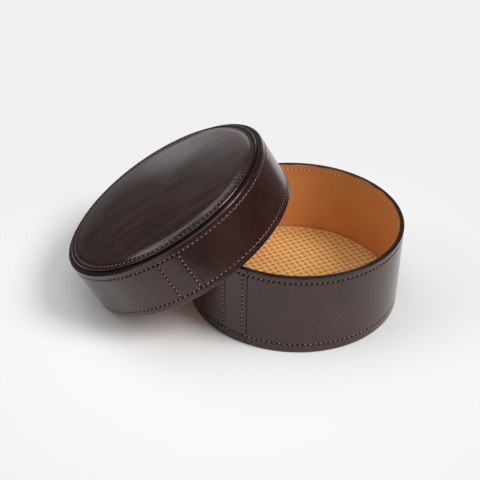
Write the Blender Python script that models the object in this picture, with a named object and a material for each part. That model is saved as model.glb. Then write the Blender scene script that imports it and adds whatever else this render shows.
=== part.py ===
"""Round leather collar box: a lined base and a slip lid that leans on the base's rim.

Each wall is one strip of bridle leather, lapped on itself and saddle stitched. A blocked
leather cap closes one end of each wall: its turned flange lies inside the skived wall and
is sewn through with it. The lid's cap carries a padded panel sewn on round its margin.
Lengths are in metres, +Z is up, and the origin is the centre of the base's underside.
"""

import math

import bmesh
import bpy
from mathutils import Vector

# Overall sizes
BASE_RADIUS = 0.085
BASE_HEIGHT = 0.0693
LID_HEIGHT = 0.0438
LID_SLIP = 0.0010
LID_LEAN = math.radians(31.0)

# Leather, board and padding
WALL_THICKNESS = 0.0024
LINING_THICKNESS = 0.0009
CAP_THICKNESS = 0.0018
FLANGE_THICKNESS = 0.0009
FLANGE_HEIGHT = 0.0120
BOARD_THICKNESS = 0.0018
FLOOR_PAD_THICKNESS = 0.0023
CEILING_THICKNESS = 0.0009
PANEL_THICKNESS = 0.0021
GLUE_GAP = 0.0003

# Rounded edges of the strips and discs
OPEN_EDGE_ROUNDING = 0.0006
CLOSED_EDGE_ROUNDING = 0.0008
LINING_EDGE_ROUNDING = 0.0005
PAD_EDGE_ROUNDING = 0.0006
PANEL_EDGE_ROUNDING = 0.0007

# The lid's panel: the ledge left round it, its sewn margin and its padded crown
LEDGE_WIDTH = 0.0044
PANEL_MARGIN = 0.0035
CROWN_RISE = 0.0041
CROWN_SHOULDER_SHARE = 0.5
CROWN_SHOULDER_POWER = 40
CROWN_DOME_POWER = 2
CROWN_RADIUS_SHARES = (0.99, 0.965, 0.9, 0.6)

# Stitch rows: from the base's foot and rim, and from the lid's ledge and mouth
FOOT_ROW_RISE = 0.0076
RIM_ROW_DROP = 0.0049
LEDGE_ROW_DROP = 0.0045
MOUTH_ROW_RISE = 0.0054
CHANNEL_WIDTH = 0.0018
CHANNEL_DEPTH = 0.0007
THREAD_PROUD = 0.00015

# Lapped seams of the two walls
SEAM_ROW_SPACING = 0.0172
SEAM_EDGE_MARGIN = 0.0038
BASE_SEAM_AZIMUTH = math.radians(236.4)
LID_SEAM_AZIMUTH = math.radians(276.8)

# Faces of the round pieces, and how far a cutter passes what it cuts
RING_FACES = 64
CORNER_FACES = 2
LAP_FACES = 8
MERGE_SHARE = 0.01
CUT_OVERRUN = 0.002

# Sizes that follow from the ones above
LID_RADIUS = BASE_RADIUS + LID_SLIP + LINING_THICKNESS + GLUE_GAP + WALL_THICKNESS
FLANGE_SKIVE = FLANGE_THICKNESS + GLUE_GAP
PANEL_RADIUS = LID_RADIUS - LEDGE_WIDTH
PANEL_BED = LID_HEIGHT + GLUE_GAP
PANEL_TOP = PANEL_BED + PANEL_THICKNESS
PANEL_ROW_RADIUS = PANEL_RADIUS - PANEL_MARGIN
CROWN_RADIUS = PANEL_ROW_RADIUS - CHANNEL_WIDTH / 2
CHANNEL_SLOPE = math.atan2(CHANNEL_WIDTH / 2, CHANNEL_DEPTH)
THREAD_DEPTH = CHANNEL_DEPTH - GLUE_GAP / math.sin(CHANNEL_SLOPE)
THREAD_HALF_WIDTH = (THREAD_DEPTH + THREAD_PROUD) * math.tan(CHANNEL_SLOPE)

OUTWARD = Vector((1, 0))
UPWARD = Vector((0, 1))


def clear_scene():
    for item in list(bpy.data.objects):
        bpy.data.objects.remove(item, do_unlink=True)


def make_material(name, colour, roughness):
    material = bpy.data.materials.new(name)
    material.use_nodes = True
    shader = material.node_tree.nodes["Principled BSDF"]
    shader.inputs["Base Color"].default_value = (*colour, 1)
    shader.inputs["Roughness"].default_value = roughness
    shader.inputs["Metallic"].default_value = 0
    return material


def bridle_leather(name):
    return make_material(name, (0.038, 0.022, 0.018), 0.32)


def tan_leather(name):
    return make_material(name, (0.52, 0.25, 0.09), 0.55)


def grey_board(name):
    return make_material(name, (0.30, 0.26, 0.21), 0.85)


def wool_felt(name):
    return make_material(name, (0.55, 0.52, 0.46), 0.95)


def linen_thread(name):
    return make_material(name, (0.46, 0.20, 0.09), 0.60)


def add_object(name, body, material):
    """Makes one object of a bmesh, with its faces pointing out."""
    bmesh.ops.recalc_face_normals(body, faces=body.faces)
    mesh = bpy.data.meshes.new(name)
    body.to_mesh(mesh)
    body.free()
    mesh.shade_smooth()
    mesh.set_sharp_from_angle(angle=math.radians(30))
    if material is not None:
        mesh.materials.append(material)
    item = bpy.data.objects.new(name, mesh)
    bpy.context.scene.collection.objects.link(item)
    return item


def turn(name, profile, material):
    """Turns a closed outline of (radius, height) points once round the Z axis."""
    body = bmesh.new()
    corners = [body.verts.new((radius, 0, height)) for radius, height in profile]
    for first, second in zip(corners, corners[1:] + corners[:1]):
        if first.co.x > 0 or second.co.x > 0:
            body.edges.new((first, second))
    bmesh.ops.spin(
        body,
        geom=body.verts[:] + body.edges[:],
        cent=(0, 0, 0),
        axis=(0, 0, 1),
        angle=math.tau,
        steps=RING_FACES,
        use_merge=True,
    )
    bmesh.ops.remove_doubles(body, verts=body.verts, dist=GLUE_GAP * MERGE_SHARE)
    return add_object(name, body, material)


def extrude_plan(name, outline, low, high, material):
    """Raises a closed plan outline of (x, y) points from one height to another."""
    body = bmesh.new()
    corners = [body.verts.new((x, y, low)) for x, y in outline]
    floor = body.faces.new(corners)
    raised = bmesh.ops.extrude_face_region(body, geom=[floor])
    top = [part for part in raised["geom"] if isinstance(part, bmesh.types.BMVert)]
    bmesh.ops.translate(body, vec=(0, 0, high - low), verts=top)
    return add_object(name, body, material)


def polar(radius, azimuth):
    return radius * math.cos(azimuth), radius * math.sin(azimuth)


def arc(radius, start, end, faces):
    """Points along an arc from one azimuth to another, both ends included."""
    return [polar(radius, start + (end - start) * step / faces) for step in range(faces + 1)]


def rounded(before, corner, after, rounding):
    """Replaces a corner by points on a curve that leaves each side at the rounding."""
    corner = Vector(corner)
    start = corner + (Vector(before) - corner).normalized() * rounding
    end = corner + (Vector(after) - corner).normalized() * rounding
    points = []
    for step in range(CORNER_FACES + 1):
        along = step / CORNER_FACES
        points.append(start.lerp(corner, along).lerp(corner.lerp(end, along), along))
    return [tuple(point) for point in points]


def channel(centre, outward, along):
    """The three corners of a stitch channel sunk at a point of a surface."""
    half = along * CHANNEL_WIDTH / 2
    return [
        tuple(centre - half),
        tuple(centre - outward * CHANNEL_DEPTH),
        tuple(centre + half),
    ]


def thread(centre, outward, along):
    """The three corners of the thread that lies in a stitch channel."""
    top = centre + outward * THREAD_PROUD
    return [
        tuple(top - along * THREAD_HALF_WIDTH),
        tuple(centre - outward * THREAD_DEPTH),
        tuple(top + along * THREAD_HALF_WIDTH),
    ]


def from_closed_end(points, height):
    """Turns heights above the lid's ledge into heights above its mouth."""
    return [(radius, height - rise) for radius, rise in points]


def wall_outline(radius, height, closed_row, open_row):
    """A wall's section, from its closed end at height 0 to its open end."""
    inner = radius - WALL_THICKNESS
    skived = inner + FLANGE_SKIVE
    skive_top = FLANGE_HEIGHT + GLUE_GAP
    foot = (radius, 0)
    brim = (radius, height)
    points = rounded((skived, 0), foot, brim, CLOSED_EDGE_ROUNDING)
    points += channel(Vector((radius, closed_row)), OUTWARD, UPWARD)
    points += channel(Vector((radius, open_row)), OUTWARD, UPWARD)
    points += rounded(foot, brim, (inner, height), OPEN_EDGE_ROUNDING)
    points += [(inner, height), (inner, skive_top), (skived, skive_top), (skived, 0)]
    return points


def lining_outline(radius, height, closed_end):
    """A lining's section, from where it meets the closed end's board to the open edge."""
    outer = radius - WALL_THICKNESS - GLUE_GAP
    inner = outer - LINING_THICKNESS
    brim = rounded((outer, height), (inner, height), (inner, closed_end), LINING_EDGE_ROUNDING)
    return [(outer, closed_end), (outer, height), *brim, (inner, closed_end)]


def cap_outline(radius):
    """A blocked cap's section: its plate at the closed end and its turned flange."""
    outer = radius - WALL_THICKNESS + FLANGE_SKIVE - GLUE_GAP
    inner = outer - FLANGE_THICKNESS
    return [
        (0, 0),
        (outer, 0),
        (outer, FLANGE_HEIGHT),
        (inner, FLANGE_HEIGHT),
        (inner, CAP_THICKNESS),
        (0, CAP_THICKNESS),
    ]


def disc_outline(radius, low, high):
    return [(0, low), (radius, low), (radius, high), (0, high)]


def cut(item, cutter):
    """Cuts one object from another with a live Boolean, and hides the cutter."""
    cutter.hide_render = True
    cutter.display_type = "WIRE"
    cutter.parent = item.parent
    modifier = item.modifiers.new(cutter.name, "BOOLEAN")
    modifier.operation = "DIFFERENCE"
    modifier.solver = "EXACT"
    modifier.object = cutter


def seam_azimuths(radius, seam):
    """Azimuths of the inner end, the left row, the right row and the outer end."""
    half = SEAM_ROW_SPACING / 2 / radius
    margin = SEAM_EDGE_MARGIN / radius
    return seam - half - margin, seam - half, seam + half, seam + half + margin


def lap_slot_outline(radius, inner_end, outer_end):
    """The plan of the glue line where the strip's halved ends lie over each other."""
    inner = radius - WALL_THICKNESS
    tongue = (WALL_THICKNESS - GLUE_GAP) / 2
    slot_outer = radius - tongue
    slot_inner = slot_outer - GLUE_GAP
    step = GLUE_GAP / radius
    return [
        polar(radius + CUT_OVERRUN, outer_end),
        polar(radius + CUT_OVERRUN, outer_end + step),
        *arc(slot_inner, outer_end + step, inner_end, LAP_FACES),
        polar(inner - CUT_OVERRUN, inner_end),
        polar(inner - CUT_OVERRUN, inner_end - step),
        *arc(slot_outer, inner_end - step, outer_end, LAP_FACES),
    ]


def plan_on_wall(points, azimuth):
    """Turns plan points drawn at azimuth 0 round to where they lie on a wall."""
    cosine = math.cos(azimuth)
    sine = math.sin(azimuth)
    return [(x * cosine - y * sine, x * sine + y * cosine) for x, y in points]


def seam_channel_outline(radius, azimuth):
    """The plan of an upright stitch channel, carried past the wall's surface."""
    sides = channel(Vector((radius, 0)), OUTWARD, UPWARD)
    widening = 1 + CUT_OVERRUN / CHANNEL_DEPTH
    apex = Vector(sides[1])
    reach = [tuple(apex + (Vector(side) - apex) * widening) for side in (sides[0], sides[2])]
    return plan_on_wall([reach[0], sides[1], reach[1]], azimuth)


def add_wall(name, radius, outline, height, seam, row_span, material):
    """A wall: a turned section, halved where its ends lap, with its seam's channels."""
    wall = turn(name, outline, material)
    inner_end, left_row, right_row, outer_end = seam_azimuths(radius, seam)
    slot = lap_slot_outline(radius, inner_end, outer_end)
    below = -CUT_OVERRUN
    above = height + CUT_OVERRUN
    cut(wall, extrude_plan(name + "_lap_cutter", slot, below, above, None))
    for side, azimuth in (("left", left_row), ("right", right_row)):
        plan = seam_channel_outline(radius, azimuth)
        cut(wall, extrude_plan(name + "_channel_" + side, plan, *row_span, None))
    return wall


def add_lining(name, radius, outline, height, seam, material):
    """A lining: a turned section, parted where the strip's ends butt together."""
    lining = turn(name, outline, material)
    inner = radius - WALL_THICKNESS - GLUE_GAP - LINING_THICKNESS
    slot = [
        (inner - CUT_OVERRUN, -GLUE_GAP / 2),
        (radius, -GLUE_GAP / 2),
        (radius, GLUE_GAP / 2),
        (inner - CUT_OVERRUN, GLUE_GAP / 2),
    ]
    plan = plan_on_wall(slot, seam)
    cut(lining, extrude_plan(name + "_butt_cutter", plan, -CUT_OVERRUN, height + CUT_OVERRUN, None))
    return lining


def add_seam_threads(name, radius, seam, row_span, material):
    """The two upright rows that hold a wall's lap."""
    low, high = row_span
    rows = zip(("left", "right"), seam_azimuths(radius, seam)[1:3])
    section = thread(Vector((radius, 0)), OUTWARD, UPWARD)
    clear = THREAD_HALF_WIDTH / 2
    return [
        extrude_plan(
            f"{name}_{side}",
            plan_on_wall(section, azimuth),
            low + clear,
            high - clear,
            material,
        )
        for side, azimuth in rows
    ]


def upright_span(first_row, second_row):
    """Heights between two rings of thread that the upright rows run between."""
    clear = CHANNEL_WIDTH / 2
    return first_row + clear, second_row - clear


def crown_rise(share):
    """How far the padded panel stands above its margin, by share of the crown's radius."""
    shoulder = 1 - share**CROWN_SHOULDER_POWER
    dome = 1 - share**CROWN_DOME_POWER
    return CROWN_RISE * (
        CROWN_SHOULDER_SHARE * shoulder + (1 - CROWN_SHOULDER_SHARE) * dome
    )


def crown_line(radius, height, shares):
    """Points of the crown's curve over a radius, from its edge to the middle."""
    return [(radius * share, height + crown_rise(share)) for share in shares]


def panel_outline():
    """The panel's section: bed, rounded edge, stitch channel and padded crown."""
    edge_top = (PANEL_RADIUS, PANEL_TOP)
    row = Vector((PANEL_ROW_RADIUS, PANEL_TOP))
    hollow = CROWN_RADIUS - PANEL_THICKNESS
    points = [(PANEL_RADIUS, PANEL_BED)]
    points += rounded(points[0], edge_top, tuple(row), PANEL_EDGE_ROUNDING)
    points += channel(row, UPWARD, -OUTWARD)
    points += crown_line(CROWN_RADIUS, PANEL_TOP, (*CROWN_RADIUS_SHARES, 0))
    underside = crown_line(hollow, PANEL_BED, (1, *CROWN_RADIUS_SHARES, 0))
    return points + underside[::-1]


def padding_outline():
    """The felt under the crown, thinned to its edge."""
    radius = CROWN_RADIUS - PANEL_THICKNESS - GLUE_GAP
    top = crown_line(radius, PANEL_BED - GLUE_GAP, (*CROWN_RADIUS_SHARES[1:], 0))
    return [(0, PANEL_BED), (top[0][0], PANEL_BED), *top]


def add_base():
    """The base's pieces, from the wall inwards and from the bottom up."""
    rim_row = BASE_HEIGHT - RIM_ROW_DROP
    span = upright_span(FOOT_ROW_RISE, rim_row)
    board_low = CAP_THICKNESS + GLUE_GAP
    board_high = board_low + BOARD_THICKNESS
    pad_low = board_high + GLUE_GAP
    pad_high = pad_low + FLOOR_PAD_THICKNESS
    board_radius = BASE_RADIUS - WALL_THICKNESS - GLUE_GAP
    pad_radius = board_radius - LINING_THICKNESS - GLUE_GAP

    wall = wall_outline(BASE_RADIUS, BASE_HEIGHT, FOOT_ROW_RISE, rim_row)
    leather = bridle_leather("base_wall_leather")
    add_wall("base_wall", BASE_RADIUS, wall, BASE_HEIGHT, BASE_SEAM_AZIMUTH, span, leather)

    lining = lining_outline(BASE_RADIUS, BASE_HEIGHT, pad_low)
    tan = tan_leather("base_lining_leather")
    add_lining("base_lining", BASE_RADIUS, lining, BASE_HEIGHT, BASE_SEAM_AZIMUTH, tan)

    turn("base_bottom_cap", cap_outline(BASE_RADIUS), bridle_leather("base_cap_leather"))
    board = disc_outline(board_radius, board_low, board_high)
    turn("base_board", board, grey_board("base_board_card"))

    pad_edge = (pad_radius, pad_high)
    pad = [(0, pad_low), (pad_radius, pad_low)]
    pad += rounded(pad[1], pad_edge, (0, pad_high), PAD_EDGE_ROUNDING)
    pad.append((0, pad_high))
    turn("base_floor_pad", pad, tan_leather("base_floor_pad_leather"))

    for name, height in (("base_foot_stitching", FOOT_ROW_RISE), ("base_rim_stitching", rim_row)):
        ring = thread(Vector((BASE_RADIUS, height)), OUTWARD, UPWARD)
        turn(name, ring, linen_thread(name + "_thread"))
    linen = linen_thread("base_seam_thread")
    add_seam_threads("base_seam_stitching", BASE_RADIUS, BASE_SEAM_AZIMUTH, span, linen)


def add_lid():
    """The lid's pieces in its own frame: mouth at height 0, ledge at the lid's height."""
    ledge_row = LID_HEIGHT - LEDGE_ROW_DROP
    mouth_row = MOUTH_ROW_RISE
    span = upright_span(mouth_row, ledge_row)
    board_high = LID_HEIGHT - CAP_THICKNESS - GLUE_GAP
    board_low = board_high - BOARD_THICKNESS
    ceiling_high = board_low - GLUE_GAP
    ceiling_low = ceiling_high - CEILING_THICKNESS
    board_radius = LID_RADIUS - WALL_THICKNESS - GLUE_GAP
    ceiling_radius = board_radius - LINING_THICKNESS - GLUE_GAP

    outline = wall_outline(LID_RADIUS, LID_HEIGHT, LEDGE_ROW_DROP, LID_HEIGHT - mouth_row)
    wall = from_closed_end(outline, LID_HEIGHT)
    leather = bridle_leather("lid_wall_leather")
    pieces = [add_wall("lid_wall", LID_RADIUS, wall, LID_HEIGHT, LID_SEAM_AZIMUTH, span, leather)]

    outline = lining_outline(LID_RADIUS, LID_HEIGHT, LID_HEIGHT - ceiling_high)
    lining = from_closed_end(outline, LID_HEIGHT)
    tan = tan_leather("lid_lining_leather")
    pieces.append(add_lining("lid_lining", LID_RADIUS, lining, LID_HEIGHT, LID_SEAM_AZIMUTH, tan))

    cap = from_closed_end(cap_outline(LID_RADIUS), LID_HEIGHT)
    pieces.append(turn("lid_top_cap", cap, bridle_leather("lid_cap_leather")))
    board = disc_outline(board_radius, board_low, board_high)
    pieces.append(turn("lid_board", board, grey_board("lid_board_card")))
    ceiling = disc_outline(ceiling_radius, ceiling_low, ceiling_high)
    pieces.append(turn("lid_ceiling_lining", ceiling, tan_leather("lid_ceiling_leather")))
    pieces.append(turn("lid_padding", padding_outline(), wool_felt("lid_padding_felt")))
    pieces.append(turn("lid_panel", panel_outline(), bridle_leather("lid_panel_leather")))

    rows = {
        "lid_mouth_stitching": (Vector((LID_RADIUS, mouth_row)), OUTWARD, UPWARD),
        "lid_top_stitching": (Vector((LID_RADIUS, ledge_row)), OUTWARD, UPWARD),
        "lid_panel_stitching": (Vector((PANEL_ROW_RADIUS, PANEL_TOP)), UPWARD, OUTWARD),
    }
    for name, place in rows.items():
        pieces.append(turn(name, thread(*place), linen_thread(name + "_thread")))
    linen = linen_thread("lid_seam_thread")
    pieces += add_seam_threads("lid_seam_stitching", LID_RADIUS, LID_SEAM_AZIMUTH, span, linen)
    return pieces, wall


def lean_place(wall):
    """Where the middle of the leaning lid's mouth is: its low edge stands on the ground,
    and the circle inside its mouth crosses the circle outside the base's rim. Both edges
    are rounded there, so the solids keep a gap of about a third of a millimetre."""
    sine = math.sin(LID_LEAN)
    cosine = math.cos(LID_LEAN)
    rise = max(radius * sine - height * cosine for radius, height in wall)
    mouth = LID_RADIUS - WALL_THICKNESS - GLUE_GAP - LINING_THICKNESS
    up_slope = (BASE_HEIGHT - rise) / sine
    half_chord = math.sqrt(mouth**2 - up_slope**2)
    reach = up_slope * cosine + math.sqrt(BASE_RADIUS**2 - half_chord**2)
    return -reach, 0, rise


def build():
    clear_scene()
    add_base()
    pieces, wall = add_lid()
    frame = bpy.data.objects.new("lid_frame", None)
    bpy.context.scene.collection.objects.link(frame)
    frame.location = lean_place(wall)
    frame.rotation_euler = (0, -LID_LEAN, 0)
    for piece in pieces:
        piece.parent = frame
        for modifier in piece.modifiers:
            modifier.object.parent = frame
    print("lid mouth centre", [round(value, 5) for value in frame.location])


build()
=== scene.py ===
# %% [markdown]
# Dressing a stitched leather collar box
#
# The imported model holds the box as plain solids: a lined base, and a slip lid that leans on its rim.
# This lesson gives each of them the surface of the real thing: bridle leather with lapped seams and
# inked edges, a tan lining, a tooled floor pad, a padded panel and 1,143 single stitches.
# Nearly every piece here is round, so one idea carries the whole lesson: a surface is a function of
# two numbers, how far round it lies and how far along its section, worked out as whole numpy arrays.

# %% Open the frame
import math

import bpy
import numpy as np
from mathutils import Matrix, Vector


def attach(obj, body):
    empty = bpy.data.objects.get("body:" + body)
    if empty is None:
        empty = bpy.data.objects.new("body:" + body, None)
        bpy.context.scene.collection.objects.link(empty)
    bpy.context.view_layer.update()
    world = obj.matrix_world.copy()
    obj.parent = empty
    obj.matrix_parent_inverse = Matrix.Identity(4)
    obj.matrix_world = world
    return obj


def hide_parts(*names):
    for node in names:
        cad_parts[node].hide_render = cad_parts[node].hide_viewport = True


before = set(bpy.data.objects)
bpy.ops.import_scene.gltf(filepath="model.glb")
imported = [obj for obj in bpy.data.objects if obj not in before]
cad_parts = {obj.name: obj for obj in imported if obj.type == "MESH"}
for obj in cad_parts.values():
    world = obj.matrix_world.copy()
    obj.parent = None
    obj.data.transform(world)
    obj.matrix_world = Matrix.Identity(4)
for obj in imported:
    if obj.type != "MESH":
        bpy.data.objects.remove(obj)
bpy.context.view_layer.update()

# %% [markdown]
# Two frames to work in
#
# The base stands upright, but the lid leans, and it is far easier to shape the lid as if it lay flat.
# So each body gets its own frame: the base's is the world's, and the lid's has its mouth at height
# zero and its axis upright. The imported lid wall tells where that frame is. Once its points are turned
# back by the lean, the middle of their box is the axis, and the lowest of them is the mouth.

# %% The frames of the base and the lid
MM = 0.001
LID_LEAN = math.radians(31.0)


def node_points(node):
    """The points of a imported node, one row of x, y, z each."""
    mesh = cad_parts[node].data
    flat = np.empty(3 * len(mesh.vertices), np.float32)
    mesh.vertices.foreach_get("co", flat)
    return flat.reshape(-1, 3).astype(float)


def own_points(node, body):
    """A node's points in the frame of its body: moved back to its origin, then turned back."""
    turn, origin = body
    return (node_points(node) - origin) @ turn


def into_world(points, body):
    """Points from a body's frame to the world: turned, then moved."""
    turn, origin = body
    return points @ turn.T + origin


BASE = (np.eye(3), np.zeros(3))
lid_turn = np.array(Matrix.Rotation(-LID_LEAN, 3, "Y"))
flat_lid = own_points("lid_wall", (lid_turn, np.zeros(3)))
lid_middle = (flat_lid.min(0) + flat_lid.max(0)) / 2
lid_middle[2] = flat_lid[:, 2].min()
LID = (lid_turn, lid_turn @ lid_middle)
print("lid mouth centre, mm:", (LID[1] / MM).round(2))

# %% [markdown]
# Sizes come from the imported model
#
# A skin that is to lie on a solid has to have its sizes, so they are read from it, and only the
# thickness of the leather and the shape of its edges are typed. For a round piece four numbers say
# nearly everything: least and greatest distance from the axis, lowest and highest point along it.
# The rows of stitches give the rest: where each ring of thread lies, and the azimuth and the span
# of the upright rows beside each lap.

# %% Read the sizes


def round_sizes(node, body):
    """Least and greatest distance from the axis, and lowest and highest height, of a round node."""
    x, y, height = own_points(node, body).T
    reach = np.hypot(x, y)
    return reach.min(), reach.max(), height.min(), height.max()


def row_height(node, body):
    """The height of a ring of thread round a wall: halfway up its section."""
    low, high = round_sizes(node, body)[2:]
    return (low + high) / 2


def upright_row(node, body):
    """Azimuth of an upright row of thread, and the heights that it runs between."""
    x, y, height = own_points(node, body).T
    return math.atan2(y.mean(), x.mean()), height.min(), height.max()


BASE_RADIUS, BASE_HEIGHT = round_sizes("base_wall", BASE)[1::2]
BASE_LINING_RADIUS, BASE_LINING_LOW = round_sizes("base_lining", BASE)[1:3]
PAD_RADIUS, PAD_LOW, PAD_HIGH = round_sizes("base_floor_pad", BASE)[1:]
BOTTOM_RADIUS, BOTTOM_LOW, BOTTOM_HIGH = round_sizes("base_bottom_cap", BASE)[1:]
LID_RADIUS, LID_HEIGHT = round_sizes("lid_wall", LID)[1::2]
LID_LINING_RADIUS, LID_LINING_HIGH = round_sizes("lid_lining", LID)[1::2]
CEILING_RADIUS, CEILING_LOW, CEILING_HIGH = round_sizes("lid_ceiling_lining", LID)[1:]
CAP_RADIUS, CAP_LOW, CAP_HIGH = round_sizes("lid_top_cap", LID)[1:]
PANEL_RADIUS, PANEL_BED, PANEL_APEX = round_sizes("lid_panel", LID)[1:]
FELT_RADIUS, FELT_BED, FELT_APEX = round_sizes("lid_padding", LID)[1:]

BASE_RIM_ROW = row_height("base_rim_stitching", BASE)
BASE_FOOT_ROW = row_height("base_foot_stitching", BASE)
LID_MOUTH_ROW = row_height("lid_mouth_stitching", LID)
LID_LEDGE_ROW = row_height("lid_top_stitching", LID)
PANEL_ROW_RADIUS = sum(round_sizes("lid_panel_stitching", LID)[:2]) / 2
BASE_SEAM = [upright_row(f"base_seam_stitching_{side}", BASE) for side in ("left", "right")]
LID_SEAM = [upright_row(f"lid_seam_stitching_{side}", LID) for side in ("left", "right")]
WALL_THICKNESS = 2.4 * MM
GLUE_GAP = BASE_RADIUS - BASE_LINING_RADIUS - WALL_THICKNESS
GLUE_PLAY = 0.05 * MM
print("base radius and height, mm:", round(BASE_RADIUS / MM, 2), round(BASE_HEIGHT / MM, 2))
print("lid radius and height, mm:", round(LID_RADIUS / MM, 2), round(LID_HEIGHT / MM, 2))
print("base seam, degrees:", [round(math.degrees(row[0]) % 360, 1) for row in BASE_SEAM])
print("lid seam, degrees:", [round(math.degrees(row[0]) % 360, 1) for row in LID_SEAM])
print("panel row radius, mm:", round(PANEL_ROW_RADIUS / MM, 2), "gap:", round(GLUE_GAP / MM, 2))

# %% [markdown]
# From a grid of points to a mesh
#
# Blender can build a mesh face by face, but a loop over a hundred thousand faces is slow. A grid
# needs no loop: the corners of the face at row i and column j are always (i, j), (i + 1, j),
# (i + 1, j + 1) and (i, j + 1), so one broadcast gives every face at once. The rows go round the
# piece and always close. The columns follow its section, which either closes too, as on a ring, or
# starts and ends on the axis, where a fan of triangles meets in one point.

# %% Grids, meshes and pieces


def grid_faces(rows, columns, closed):
    """Corner rows and columns of every quad: one more row or column past the last wraps round."""
    row = np.arange(rows)[:, None, None]
    column = np.arange(columns if closed else columns - 1)[None, :, None]
    around = row + np.array([0, 1, 1, 0])
    across = column + np.array([0, 0, 1, 1])
    around, across = np.broadcast_arrays(around, across)
    return around.reshape(-1, 4), across.reshape(-1, 4)


def surface_blocks(rows, columns, closed):
    """Faces of one surface as blocks of (vertex numbers, corner rows, corner columns).

    A closed section uses the grid as it is. An open one drops its first and last column, whose
    points all lie on the axis, and puts one pole for each after the grid."""
    if closed:
        around, across = grid_faces(rows, columns, True)
        return [(around % rows * columns + across % columns, around, across)]
    inner = columns - 2
    around, across = grid_faces(rows, inner, False)
    blocks = [(around % rows * inner + across, around, across + 1)]
    row = np.arange(rows)[:, None]
    first = np.hstack([np.full((rows, 1), rows * inner), (row + 1) % rows * inner, row * inner])
    last = np.hstack([row * inner, (row + 1) % rows * inner, np.full((rows, 1), rows * inner + 1)])
    last[:, :2] += inner - 1
    around = row + np.array([0, 1, 0])
    first_across = np.tile([0, 1, 1], (rows, 1))
    last_across = np.tile([columns - 2, columns - 2, columns - 1], (rows, 1))
    return [*blocks, (first, around, first_across), (last, around, last_across)]


def drop_poles(values):
    """Grid values (rows, columns, ...) as vertex values: inner columns first, then the two poles."""
    inner = values[:, 1:-1].reshape(-1, *values.shape[2:])
    return np.concatenate([inner, values[:1, 0], values[:1, -1]])


def add_object(name, data):
    """A new object of the scene that shows a mesh, a lamp or a camera."""
    item = bpy.data.objects.new(name, data)
    bpy.context.scene.collection.objects.link(item)
    return item


def add_mesh(name, points, faces, uvs):
    """A smooth mesh object from points, and from blocks of vertex numbers with their UV corners."""
    mesh = bpy.data.meshes.new(name)
    corners = np.concatenate([block.ravel() for block in faces]).astype(np.int32)
    sizes = np.concatenate([np.full(len(block), block.shape[1]) for block in faces])
    starts = (np.cumsum(sizes) - sizes).astype(np.int32)
    mesh.vertices.add(len(points))
    mesh.loops.add(len(corners))
    mesh.polygons.add(len(sizes))
    mesh.vertices.foreach_set("co", points.astype(np.float32).ravel())
    mesh.loops.foreach_set("vertex_index", corners)
    mesh.polygons.foreach_set("loop_start", starts)
    mesh.update(calc_edges=True)
    layer = mesh.uv_layers.new(name="UVMap")
    flat = np.concatenate([block.reshape(-1, 2) for block in uvs]).astype(np.float32)
    layer.data.foreach_set("uv", flat.ravel())
    mesh.shade_smooth()
    mesh.validate()
    return add_object(name, mesh)


def paint(item, name, values):
    """Stores one number for each vertex, which a material can read as an attribute."""
    layer = item.data.attributes.new(name, "FLOAT", "POINT")
    layer.data.foreach_set("value", np.ascontiguousarray(values, np.float32).ravel())


def settle(item, body_name, node, material):
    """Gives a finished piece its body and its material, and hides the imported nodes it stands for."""
    item.data.materials.append(material)
    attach(item, body_name)
    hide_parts(*([node] if isinstance(node, str) else node))
    item.data.calc_loop_triangles()
    print(item.name, "triangles:", len(item.data.loop_triangles))
    return item


# %% [markdown]
# Turning a section
#
# A lathe would make most of this box, and so does this function: it carries a section of radii and
# heights round the axis. A real wall is not quite a lathe's work, so each point may also be pushed
# along the surface's outward direction by its own amount, and lifted along the axis. Sunk stitch
# rows, awl holes and the step of the lap are pushes. The panel's swell is a lift.

# %% Turned pieces


def section_normals(radii, heights, closed):
    """Outward direction at each point of a section that runs up its outer side.

    The direction along the section is (dr, dz), and (dz, -dr) points out of the leather."""
    if closed:
        along_r = np.roll(radii, -1) - np.roll(radii, 1)
        along_z = np.roll(heights, -1) - np.roll(heights, 1)
    else:
        along_r = np.gradient(radii)
        along_z = np.gradient(heights)
    length = np.hypot(along_r, along_z)
    return along_z / length, -along_r / length


def turned_piece(name, body, azimuths, section, push=0.0, lift=0.0, closed=True, paints=None):
    """Point (a, p) lies at azimuth a, at the section's point p pushed outward by push[a, p] and
    then lifted along the axis by lift[a, p]."""
    radii, heights = section
    out_r, out_z = section_normals(radii, heights, closed)
    reach = radii + out_r * push
    rise = heights + out_z * push + lift
    reach, rise, around = np.broadcast_arrays(reach, rise, azimuths[:, None])
    own = np.stack([reach * np.cos(around), reach * np.sin(around), rise], axis=-1)
    if not closed:
        own[:, (0, -1), :2] = 0
    rows, columns = own.shape[:2]
    blocks = surface_blocks(rows, columns, closed)
    steps = np.hypot(np.diff(radii, append=radii[0]), np.diff(heights, append=heights[0]))
    across_length = np.concatenate([[0], np.cumsum(steps)])
    around_length = np.append(azimuths, azimuths[0] + math.tau) * radii.max()
    uvs = [np.stack([around_length[i], across_length[j]], axis=-1) for _, i, j in blocks]
    arrange = (lambda grid: grid.reshape(-1, *grid.shape[2:])) if closed else drop_poles
    item = add_mesh(name, into_world(arrange(own), body), [block[0] for block in blocks], uvs)
    for label, values in (paints or {}).items():
        paint(item, label, arrange(np.broadcast_to(values, (rows, columns))))
    return item


# %% [markdown]
# Sections with soft corners
#
# Cut leather never has a knife-sharp corner: the maker bevels it, inks it and rubs it smooth. Each
# corner of a section is therefore an arc. Shading runs smoothly from face to face, so a flat face
# next to a tight arc would look bent. Two close points either side of the arc keep it flat.

# %% Corners and runs of a section
GUARD = 0.12 * MM


def arc(centre, radius, start, end, count=6):
    """Points on an arc about (radius, height) centre, from one angle to another, in degrees."""
    angle = np.radians(np.linspace(start, end, count))
    return np.stack([centre[0] + radius * np.cos(angle), centre[1] + radius * np.sin(angle)], axis=-1)


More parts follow.
